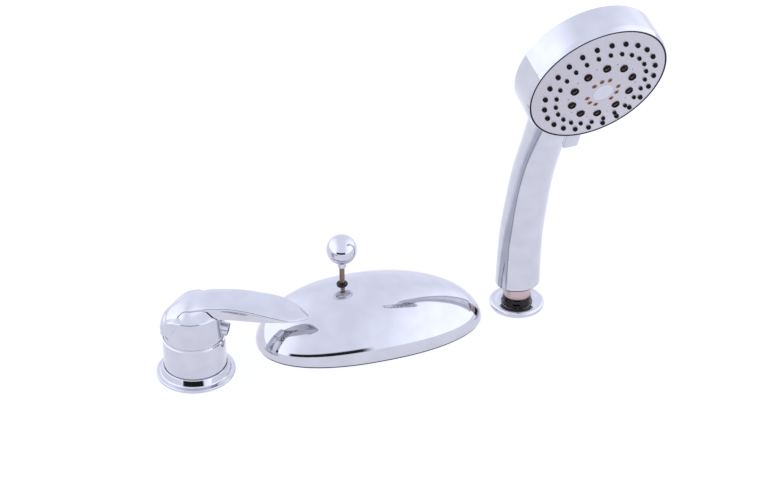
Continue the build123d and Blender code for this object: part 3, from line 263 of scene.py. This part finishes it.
def skin(rings, closed=False):
    """Faces that join rings of the same count, each ring closed on itself."""
    count = len(rings[0])
    points = [p for ring in rings for p in ring]
    faces = []
    last = len(rings) if closed else len(rings) - 1
    for i in range(last):
        low, high = i * count, (i + 1) % len(rings) * count
        for j in range(count):
            k = (j + 1) % count
            faces.append((low + j, low + k, high + k, high + j))
    return points, faces


def cap(points, faces, first, count, flip=False):
    """Closes a ring of points with one face."""
    ring = list(range(first, first + count))
    faces.append(tuple(reversed(ring)) if flip else tuple(ring))


def joined(*parts):
    """Several sets of points and faces as one."""
    points, faces = [], []
    for some_points, some_faces in parts:
        shift = len(points)
        points += some_points
        faces += [tuple(i + shift for i in f) for f in some_faces]
    return points, faces


def eased(outline, radius, steps=5):
    """An outline with each corner rounded off, so that edges catch the light."""
    made = []
    count = len(outline)
    for i in range(count):
        before, here, after = (Vector(outline[(i + s) % count]) for s in (-1, 0, 1))
        back, ahead = before - here, after - here
        reach = min(radius, back.length * 0.45, ahead.length * 0.45)
        start = here + back.normalized() * reach
        end = here + ahead.normalized() * reach
        for step in range(steps + 1):
            t = step / steps
            made.append(tuple(start * (1 - t) ** 2 + here * 2 * t * (1 - t) + end * t**2))
    return made


def turned(at, outline, steps=144):
    """An outline of (radius, height) points turned about a plane's normal."""
    rings = []
    for r, z in outline:
        turns = [2 * pi * step / steps for step in range(steps)]
        rings.append([at @ Vector((r * cos(t), r * sin(t), z)) for t in turns])
    return skin(rings, closed=True)


def smooth_path(stations, samples):
    """Values between stations along smooth curves, spaced by the first value of each station."""
    stations = np.array(stations, float)
    keys = stations[:, 0]
    slopes = np.gradient(stations, keys, axis=0)
    made = []
    for key in samples:
        i = int(np.clip(np.searchsorted(keys, key) - 1, 0, len(keys) - 2))
        span = keys[i + 1] - keys[i]
        t = (key - keys[i]) / span
        a, b = stations[i], stations[i + 1]
        made.append(
            (2 * t**3 - 3 * t**2 + 1) * a
            + (t**3 - 2 * t**2 + t) * span * slopes[i]
            + (3 * t**2 - 2 * t**3) * b
            + (t**3 - t**2) * span * slopes[i + 1]
        )
    return np.array(made)


# Radii at which a turned outline stops beside its axis
hub, pole = 0.05, 0.02

# Mixer: the trim flange round the body, a flat foot under a conical collar

body_r, trim_gap = 23.35, 0.2
flange_r, flange_edge, flange_seat, flange_lift, flange_rounding = 29.5, 2.3, 4.5, 0.6, 0.9
collar_r, collar_foot, collar_top_r, collar_top = 26.2, 2.9, 24.6, 8.3
points, faces = turned(
    mixer,
    eased(
        [
            (body_r + trim_gap, flange_lift),
            (body_r + trim_gap, collar_top),
            (collar_top_r, collar_top),
            (collar_r, collar_foot),
            (flange_r, flange_edge),
            (flange_r, 0),
            (body_r + flange_seat, 0),
        ],
        flange_rounding,
    ),
)
piece("flange", points, faces, "deck_set", chrome, ["mixer_flange"])

# Lever: one band that rises from the rear of the round cover and runs out into the paddle

skirt_z, skirt_rim, skirt_lip = 36.0, 57.0, 0.8
# The skirt rises behind rear_start so that the lever can tip, and its shoulder falls away there
rear_lift, rear_start = 6.5, -6.0
rear_fall, fall_start, fall_power = 12.5, -4.0, 1.9
# The hollow over the cartridge, and how thin the band is where it wraps the cover
hollow_top, hollow_r, hollow_side, hollow_rounding, lip_top = 49.5, 20.8, 47.4, 4.0, 46.0
band_clearance, band_wall, band_roof = 0.25, 0.4, 0.9
flank_hollow, under_droop = 0.36, 0.08
# Stations along the lever: reach, half width, crown, edge, half width and height of the lower line
lever_stations = [
    (-24.3, 5.0, 43.4, 40.6, 5.0, 38.5),
    (-22.4, 10.4, 48.4, 43.0, 10.2, 38.5),
    (-18.0, 15.2, 54.0, 46.0, 15.4, 40.0),
    (-12.0, 18.8, 59.0, 50.0, 20.4, 44.0),
    (-8.5, 16.6, 61.4, 55.6, 22.0, 50.0),
    (-5.0, 14.2, 63.2, 60.0, 22.9, 55.4),
    (3.0, 13.6, 65.8, 62.6, 23.1, 57.0),
    (12.0, 13.8, 68.0, 65.0, 20.0, 57.2),
    (21.0, 13.8, 69.2, 66.2, 13.9, 57.0),
    (31.0, 13.7, 69.9, 67.1, 10.6, 55.8),
    (39.0, 14.0, 69.5, 66.9, 9.2, 55.0),
    (48.0, 14.2, 68.3, 66.0, 8.6, 54.6),
    (57.0, 14.8, 66.6, 64.7, 7.6, 54.3),
    (65.0, 14.6, 64.8, 63.2, 6.2, 54.0),
    (78.0, 10.4, 60.7, 59.6, 4.0, 54.8),
    (86.2, 2.6, 57.8, 57.4, 1.4, 56.2),
]


def lever_ring(reach, half, crown, edge, low_half, low):
    """A crowned top with rolled edges, two hollow flanks, and an underside that clears the hollow."""
    roll = min(1.0, half * 0.12, (edge - low) * 0.12)
    top = [(half * s / 10, crown - (crown - edge - roll * 0.5) * (s / 10) ** 2) for s in range(10)]
    corner = [
        (half - roll * 0.25, edge + roll * 0.1),
        (half, edge - roll * 0.7),
        (half - roll * 0.1, edge - roll * 1.4),
    ]
    from_y, from_z = corner[-1]
    lean_y, lean_z = low_half - from_y, low - from_z
    flank = []
    for s in range(1, 13):
        t = s / 12
        hollow = flank_hollow * t * (1 - t)
        flank.append((from_y + lean_y * t + lean_z * hollow, from_z + lean_z * t - lean_y * hollow))
    if low > hollow_top + band_roof:
        shares = [1 - s / 6 for s in range(1, 7)]
        under = [(low_half * s, low - under_droop * low_half * (1 - s**2)) for s in shares]
    else:
        limit = sqrt(max(0.0, (body_r + band_clearance) ** 2 - reach**2))
        under = [(min(limit, y - band_wall), z) for y, z in (flank[11], flank[6], flank[1])]
        for share in (0.6, 0.3, 0.0):
            y = under[2][0] * share
            below_top = crown - (crown - edge) * (y / half) ** 2 - 2 * band_wall
            under.append((y, max(low, min(hollow_top + band_roof, below_top))))
    right = top + corner + flank + under[:-1]
    left = [(-y, z) for y, z in reversed(right[1:])]
    bottom = under[-1:]
    return [mixer @ Vector((reach, y, z)) for y, z in right + bottom + left]


# Rings lie closer together round the rear, where the band bends most
lever_tail, rear_end, lever_tip = lever_stations[0][0], -12.0, lever_stations[-1][0]
samples = np.concatenate(
    (np.linspace(lever_tail, rear_end, 26), np.linspace(rear_end + 0.6, lever_tip, 110))
)
rings = [lever_ring(*row) for row in smooth_path(lever_stations, samples)]
band = skin(rings)
cap(*band, 0, len(rings[0]), flip=True)
cap(*band, (len(rings) - 1) * len(rings[0]), len(rings[0]))


def skirt_height(x):
    """The cover's lower edge: level in front, rising behind so that the lever can tip."""
    return skirt_z + max(0.0, rear_start - x) * rear_lift / (body_r + rear_start)


def cover_height(x):
    """The cover's upper edge: level, falling away behind under the band."""
    behind = max(0.0, fall_start - x) / (body_r + fall_start)
    return skirt_rim - rear_fall * behind**fall_power


def cover_skin(steps=160):
    """The round cover as a shell: outer wall up to its shoulder, and the hollow inside."""
    inner = body_r - skirt_lip
    outline = [(inner, 0.0), (inner + 0.2, -0.02), (body_r - 0.2, -0.02), (body_r, 0.02)]
    outline += [(body_r, s / 12) for s in range(1, 12)]
    outline += [(body_r - 0.15, 0.975), (body_r - 0.5, 1.0), (body_r - 3.0, 1.02), (hub, 1.02)]
    turns = [2 * pi * step / steps for step in range(steps)]
    rings = []
    for r, share in outline:
        ring = []
        for turn in turns:
            x = r * cos(turn)
            at_wall = body_r * cos(turn)
            low, high = skirt_height(at_wall), cover_height(at_wall if r > body_r - 1 else x)
            ring.append(mixer @ Vector((x, r * sin(turn), low + (high - low) * share)))
        rings.append(ring)
    hollow = [
        (hub, hollow_top),
        (hollow_r - hollow_rounding, hollow_top),
        (hollow_r, hollow_side),
        (inner, lip_top),
    ]
    for r, z in hollow:
        rings.append([mixer @ Vector((r * cos(turn), r * sin(turn), z)) for turn in turns])
    return skin(rings, closed=True)


# The nose in front of the cover, on the line of the screw: a short boss that holds the index plug
screw_z, screw_tilt, nose_root, nose_reach, nose_r = 45.0, 12.0, 4.0, 26.6, 5.2
nose_out = heading(lever_heading) * cos(radians(screw_tilt)) - up * sin(radians(screw_tilt))
nose = place(mixer @ Vector((nose_root, 0, screw_z)), heading(lever_heading + 90), nose_out)
nose_length = (nose_reach - nose_root) / cos(radians(screw_tilt))
plug_r, plug_depth, plug_gap, plug_sunk = 3.5, 2.6, 0.1, 0.35
boss = turned(
    nose,
    eased(
        [
            (plug_r + plug_gap, nose_length - plug_depth),
            (plug_r + plug_gap, nose_length),
            (nose_r, nose_length),
            (nose_r, nose_length / 2),
            (plug_r + plug_gap, nose_length / 2),
        ],
        1.0,
    ),
    72,
)
points, faces = joined(band, cover_skin(), boss)
piece("lever_cover_and_paddle", points, faces, "lever_arm", chrome, ["lever"], crease=32.0)

# Index plug: a white disc in a dark ring
points, faces = turned(
    nose,
    eased(
        [
            (hub, nose_length - plug_depth + plug_gap),
            (plug_r, nose_length - plug_depth + plug_gap),
            (plug_r, nose_length - plug_sunk),
            (hub, nose_length - plug_sunk),
        ],
        0.25,
    ),
    64,
)
ring_in, ring_out, ring_foot, ring_top = 2.2, 4.7, nose_length - 0.6, nose_length + 0.12
ring_points, ring_faces = turned(
    nose,
    eased([(ring_in, ring_foot), (ring_out, ring_foot), (ring_out, ring_top), (ring_in, ring_top)], 0.1),
    64,
)
piece("index_disc", points, faces, "lever_arm", white_disc, ["index_plug"])
piece("index_ring", ring_points, ring_faces, "lever_arm", dark_ring)

# Spout dome: plan sections of a squared oval that shrink and shift back towards the top

dome_length, dome_width, dome_height = 178.0, 91.0, 45.5
dome_centre, dome_square, dome_round = 21.4, 2.27, 1.7
dome_taper, apex_back, spout_gasket, dome_wall = -0.05, 14.0, 1.5, 3.0
dome_rings, ring_points_count, dome_top_level = 48, 160, 0.9995


def dome_ring(level, wall):
    """A level line of the dome, from its foot at level 0 to its top at level 1."""
    shrink = cos(level * pi / 2)
    rise = (dome_height - wall - spout_gasket) * sin(level * pi / 2) ** (2 / dome_round)
    height = spout_gasket + rise
    ring = []
    for step in range(ring_points_count):
        angle = 2 * pi * step / ring_points_count
        lengthways = copysign(abs(cos(angle)) ** (2 / dome_square), cos(angle))
        crossways = copysign(abs(sin(angle)) ** (2 / dome_square), sin(angle))
        x = dome_centre + (dome_length / 2 - wall) * shrink * lengthways - apex_back * (1 - shrink)
        y = (dome_width / 2 - wall) * shrink * crossways * (1 + dome_taper * shrink * lengthways)
        ring.append(Vector((x, y, height)))
    return ring


levels = [1 - (1 - step / dome_rings) ** 1.3 for step in range(dome_rings)] + [dome_top_level]
outside = [dome_ring(level, 0) for level in levels]
inside = [dome_ring(level, dome_wall) for level in reversed(levels)]
points, faces = skin(inside + outside)
cap(points, faces, 0, ring_points_count, flip=True)
cap(points, faces, len(points) - ring_points_count, ring_points_count)
piece("dome", points, faces, "deck_set", chrome, ["spout_shell"])

# Diverter knob: a ball on a short collar

knob_r, knob_z = 11.5, 76.0
knob_foot_r, knob_foot_z, foot_bevel, knob_bore_r = 3.2, 60.6, 0.3, 2.05
ball = [
    (knob_bore_r, knob_foot_z + 0.4),
    (knob_bore_r + 0.25, knob_foot_z),
    (knob_foot_r - foot_bevel, knob_foot_z),
    (knob_foot_r, knob_foot_z + foot_bevel),
]
start = atan2(-sqrt(knob_r**2 - knob_foot_r**2), knob_foot_r)
for step in range(40):
    turn = start + (pi / 2 - start) * step / 40
    ball.append((knob_r * cos(turn), knob_z + knob_r * sin(turn)))
ball.append((pole, knob_z + knob_r))
points, faces = turned(spout, ball)
piece("ball_knob", points, faces, "diverter", chrome, ["diverter_knob"])

# Brass pull rod under the knob

rod_r, rod_foot, rod_top = 2.0, -6.0, 66.8
rod_outline = eased([(hub, rod_foot), (rod_r, rod_foot), (rod_r, rod_top), (hub, rod_top)], 0.3)
points, faces = turned(spout, rod_outline, 48)
piece("pull_rod", points, faces, "diverter", rod_metal, ["diverter_stem"])

# Deck plate of the holder: a low dished disc

plate_r, plate_bore_r, plate_lift, plate_edge, plate_top, plate_dish = 21.5, 12.0, 0.2, 3.2, 4.6, 3.0
plate_outline = eased(
    [
        (plate_bore_r, plate_lift),
        (plate_r - 0.2, plate_lift),
        (plate_r, plate_edge),
        (plate_r - 1.7, plate_top),
        (plate_r - 3.9, plate_top - 0.1),
        (plate_bore_r + 2.6, plate_dish + 0.1),
        (plate_bore_r, plate_dish),
    ],
    0.8,
)
points, faces = turned(shower, plate_outline)
piece("deck_plate", points, faces, "deck_set", chrome, ["holder_plate"])

# Hand shower: handle and head

handle_foot, handle_straight, handle_bend = 20.0, 28.0, 317.0
foot_half_width, foot_half_depth = 17.7, 15.6


def bend(lean):
    """Forward and height of the handle's middle line where it leans forward by an angle."""
    return handle_bend * (1 - cos(radians(lean))), handle_straight + handle_bend * sin(radians(lean))


# Stations up the handle: forward, height, lean, half width, half depth
stations = [(0.0, z, 0.0, foot_half_width, foot_half_depth) for z in (handle_foot, handle_straight)]
for lean, half_width, half_depth in (
    (4.5, 17.3, 15.3),
    (9, 16.9, 15.0),
    (18, 16.1, 14.4),
    (26, 16.0, 14.4),
):
    stations.append((*bend(lean), lean, half_width, half_depth))
# The neck widens and turns over into the back of the head
stations += [
    (53.0, 209.0, 58.0, 18.2, 20.0),
    (68.0, 222.4, 88.0, 21.5, 24.0),
    (78.3, 230.9, 111.2, 27.0, 29.0),
]
keyed = [(float(i), *s) for i, s in enumerate(stations)]
handle_count = 96


def handle_ring(forward_by, height, lean, half_width, half_depth):
    """An oval section of the handle, square to its leaning middle line."""
    out = Vector((sin(radians(lean)), 0, cos(radians(lean))))
    back = Vector((0, 1, 0))
    rise = out.cross(back)
    ring = []
    for step in range(handle_count):
        angle = 2 * pi * step / handle_count
        across = back * half_width * cos(angle) + rise * half_depth * sin(angle)
        ring.append(shower @ (Vector((forward_by, 0, height)) + across))
    return ring


# The rounded foot of the handle, then its length
rings = []
for inset, lift in ((5.5, 0.0), (2.6, 0.0), (1.3, 0.35), (0.4, 1.2), (0.0, 2.4)):
    half_width, half_depth = foot_half_width - inset, foot_half_depth - inset
    rings.append(handle_ring(0, handle_foot + lift, 0, half_width, half_depth))
for row in smooth_path(keyed, np.linspace(0.35, len(keyed) - 1.0, 110)):
    rings.append(handle_ring(*row[1:]))
points, faces = skin(rings)
cap(points, faces, 0, handle_count, flip=True)

# The head: a drum with a bevelled lip round the spray face
head_r, lip_r, lip_lift, lip_drop, drum_depth = 51.8, 50.6, 0.1, 3.5, 23.0
drum_wall, back_wall, face_r, seam, seam_depth = 3.6, 2.4, 49.4, 0.75, 2.0
drum_outline = eased(
    [
        (face_r + seam, -seam_depth),
        (face_r + seam, lip_lift),
        (lip_r, lip_lift),
        (head_r, -lip_drop),
        (head_r, -drum_depth),
        (pole, -drum_depth),
        (pole, -drum_depth + back_wall),
        (head_r - drum_wall, -drum_depth + back_wall),
        (head_r - drum_wall, -seam_depth),
    ],
    1.0,
)
points, faces = joined((points, faces), turned(face, drum_outline))
piece("shower_handle_and_head", points, faces, "hand_shower", chrome, ["shower_shell"])

# Nut on the hose's end: a plain sleeve over two sloping bands with a groove between them

nut_foot, sleeve_foot, nut_top, nut_r, nut_bore_r = 2.4, 10.0, 21.5, 10.8, 8.7
band_r, band_top_r, groove_r, band_height = 11.5, 10.6, 10.3, 3.8
bands = [(nut_bore_r, sleeve_foot), (nut_bore_r, nut_foot), (band_r, nut_foot)]
for band_foot in (nut_foot, nut_foot + band_height):
    bands += [
        (band_r, band_foot + 0.4),
        (band_top_r, band_foot + band_height - 0.4),
        (groove_r, band_foot + band_height - 0.1),
    ]
bands.append((groove_r + 0.2, sleeve_foot))
points, faces = turned(shower, eased(bands, 0.35))
# The bands wear the painted dark reflection instead of bright chrome.
piece("nut_bands", points, faces, "hand_shower", painted_dark_reflection_metal, ["hose_nut"])
sleeve = [
    (nut_bore_r, nut_top),
    (nut_bore_r, sleeve_foot),
    (nut_r, sleeve_foot),
    (nut_r, nut_top),
]
points, faces = turned(shower, eased(sleeve, 0.5))
piece("nut_sleeve", points, faces, "hand_shower", sleeve_metal)

# Spray face: a dark silicone ring in its seam as painted shade of the gap, nozzles that stand proud, and
# the tab that picks the spray

face_crown = 7.5
face_sphere = (face_r**2 + face_crown**2) / (2 * face_crown)


def face_height(radius):
    """Height of the domed spray face above its seam."""
    return sqrt(face_sphere**2 - radius**2) - face_sphere + face_crown


def on_face(radius, turn):
    """A plane on the face at a radius and an angle, with its z pointing out of the face."""
    x, y = radius * cos(radians(turn)), radius * sin(radians(turn))
    return face @ Matrix.Translation((x, y, face_height(radius)))


def nozzles(places, outline, steps=20):
    """The same turned nozzle at each place of a ring."""
    return joined(*[turned(on_face(radius, turn), outline, steps) for radius, turn in places])


def around(radius, count, start):
    """Places evenly round the face: radius and angle."""
    return [(radius, start + 360 * i / count) for i in range(count)]


# Outlines of the nozzles as (radius, height) from the face, each from its bore to its root
rim_tip = [(0.5, -0.6), (0.55, 1.45), (1.0, 1.65), (1.5, 1.4), (1.85, 0.2), (1.85, -3.2), (0.5, -3.2)]
inner_tip = [(0.4, -0.6), (0.45, 1.3), (0.85, 1.5), (1.25, 1.25), (1.55, 0.2), (1.55, -3.2), (0.4, -3.2)]
large_tip = [(1.7, -2.8), (1.75, 0.5), (2.1, 1.1), (2.7, 1.0), (3.05, 0.1), (3.08, -2.8)]
throat = [(0.9, -2.6), (1.0, -0.2), (1.3, 0.1), (1.68, -0.1), (1.68, -2.6)]
mist_tip = [(0.7, -2.8), (0.72, 0.15), (1.1, 0.45), (1.55, 0.2), (1.68, -0.2), (1.68, -2.8)]
mat_ring = [(28.0, 3.6), (46.0, -0.9), (46.0, -2.2), (28.0, 2.3)]
# A dark silicone ring that fills the seam round the face: painted shade of the gap.
seam_shade_ring = [(face_r - 0.5, -0.2), (face_r - 0.1, 0.22), (face_r + 0.85, 0.22), (face_r + 1.0, -0.5)]
rim_places = around(40.7, 24, 2.3)
inner_places = around(33.2, 24, 2.3)
large_places = around(22.3, 10, 23.2)
mist_places = [(11.4, 107.0 + 120 * group + 30 * step) for group in range(3) for step in (-1, 0, 1)]
points, faces = joined(
    nozzles(rim_places, eased(rim_tip, 0.2, 2)),
    nozzles(inner_places, eased(inner_tip, 0.2, 2)),
    turned(face, mat_ring),
    turned(face, seam_shade_ring),
)
piece("rim_nozzles_and_seam_shade", points, faces, "hand_shower", silicone, ["nozzle_mat"])
points, faces = nozzles(large_places, eased(large_tip, 0.25, 3), 32)
piece("massage_rings", points, faces, "hand_shower", silicone, ["massage_nozzles"])
points, faces = joined(
    nozzles(large_places, eased(throat, 0.15, 2), 28),
    nozzles(mist_places, eased(mist_tip, 0.15, 2), 28),
)
piece("mist_and_throats", points, faces, "hand_shower", copper, ["mist_nozzles"])

tab_foot, tab_reach, tab_half, tab_thick, tab_z, tab_count = 46.0, 73.0, 6.0, 2.3, -9.1, 48


def tab_ring(reach, inset):
    """A rounded oblong section of the tab at a reach below the head's middle."""
    ring = []
    for step in range(tab_count):
        turn = 2 * pi * step / tab_count
        x = copysign(abs(cos(turn)) ** 0.35, cos(turn)) * (tab_half - inset)
        z = copysign(abs(sin(turn)) ** 0.6, sin(turn)) * (tab_thick - inset)
        ring.append(face @ Vector((x, -reach, tab_z + z)))
    return ring


# Distance before the tip, and how far the section is drawn in there
tab_rows = [(tab_reach - tab_foot, 0.4), (2.0, 0.0), (0.9, 0.3), (0.3, 0.9), (0.0, 1.7)]
points, faces = skin([tab_ring(tab_reach - before_tip, inset) for before_tip, inset in tab_rows])
cap(points, faces, 0, tab_count)
cap(points, faces, len(points) - tab_count, tab_count, flip=True)
piece("spray_tab", points, faces, "spray_selector", chrome, ["mode_tab"])

# Stage: a white table that ends in front of the set, in a soft pale studio

view_right = heading(-16.4)
view_back = heading(-106.4)


def flat_sheet(name, corners, material):
    """A level sheet of the stage, with its corners in metres."""
    mesh = bpy.data.meshes.new(name)
    mesh.from_pydata(corners, [], [(0, 1, 2, 3)])
    sheet = bpy.data.objects.new(name, mesh)
    bpy.context.scene.collection.objects.link(sheet)
    mesh.materials.append(material)


white_table, shader = finish_of(
    "white_table",
    {
        "Base Color": (0.1, 0.1, 0.1, 1),
        "Roughness": 0.95,
        "Specular IOR Level": 0.0,
        "Emission Color": linear("#EBECFB"),
        "Emission Strength": 1.09,
    },
)
front_edge, far_edge, half_table = 0.5, -9.0, 9.0
flat_sheet(
    "table",
    [
        view_back * front_edge - view_right * half_table,
        view_back * front_edge + view_right * half_table,
        view_back * far_edge + view_right * half_table,
        view_back * far_edge - view_right * half_table,
    ],
    white_table,
)

world = bpy.data.worlds.new("studio")
bpy.context.scene.world = world
world.use_nodes = True
all_round = add_node(world, "ShaderNodeTexCoord")


def along(direction):
    """How far a direction of the studio points along a given one, from -1 to 1."""
    return add_node(
        world,
        "ShaderNodeVectorMath",
        {"operation": "DOT_PRODUCT"},
        {1: tuple(direction)},
        {0: (all_round, "Generated")},
    )


def step_between(source, output, start, end, low=0.0, high=1.0):
    """A soft change from low to high while a value goes from start to end."""
    return add_node(
        world,
        "ShaderNodeMapRange",
        {"interpolation_type": "SMOOTHSTEP"},
        {"From Min": start, "From Max": end, "To Min": low, "To Max": high},
        {"Value": (source, output)},
    )


def combine(operation, first, second):
    """Two values joined by one sum: each is a number or a node's output."""
    links, sockets = {}, {}
    for i, value in enumerate((first, second)):
        if isinstance(value, tuple):
            links[i] = value
        else:
            sockets[i] = value
    return add_node(world, "ShaderNodeMath", {"operation": operation}, sockets, links)


# The studio: brighter to both sides, and a dark strip just above the horizon on the camera's side,
# which polished cones and the foot of the dome show as black bands
all_round_glow, side_glow, dark_glow = 1.3, 0.6, 0.02
height_in_studio = along(up)
towards_camera = along(heading(-111.0))
sideways = combine("ABSOLUTE", (along(view_right), "Value"), 0.0)
side_light = step_between(sideways, "Value", 0.3, 0.85, 0.0, side_glow)
dark_side = step_between(towards_camera, "Value", 0.82, 0.88)
dark_low = step_between(height_in_studio, "Value", 0.07, 0.11, 1.0, 0.0)
dark = combine("MULTIPLY", (dark_side, "Result"), (dark_low, "Result"))
glow = combine("ADD", (side_light, "Result"), all_round_glow)
open_share = combine("SUBTRACT", 1.0, (dark, "Value"))
strength = combine("MULTIPLY", (glow, "Value"), (open_share, "Value"))
strength = combine("ADD", (strength, "Value"), dark_glow)
sky = world.node_tree.nodes["Background"]
sky.inputs["Color"].default_value = linear("#E9EDFF")
world.node_tree.links.new(strength.outputs["Value"], sky.inputs["Strength"])

# Camera at the photograph's height and heading

camera_data = bpy.data.cameras.new("camera")
camera = bpy.data.objects.new("camera", camera_data)
bpy.context.scene.collection.objects.link(camera)
camera_data.lens, camera_data.sensor_width = 85.0, 36.0
camera_at, looking_at = Vector((-293.3, -1108.8, 800.7)) * MM, Vector((68.5, 120.5, 0)) * MM
camera.location = camera_at
camera.rotation_mode = "QUATERNION"
camera.rotation_quaternion = (looking_at - camera_at).to_track_quat("-Z", "Y")
bpy.context.scene.camera = camera
bpy.context.scene.view_settings.view_transform = "Standard"
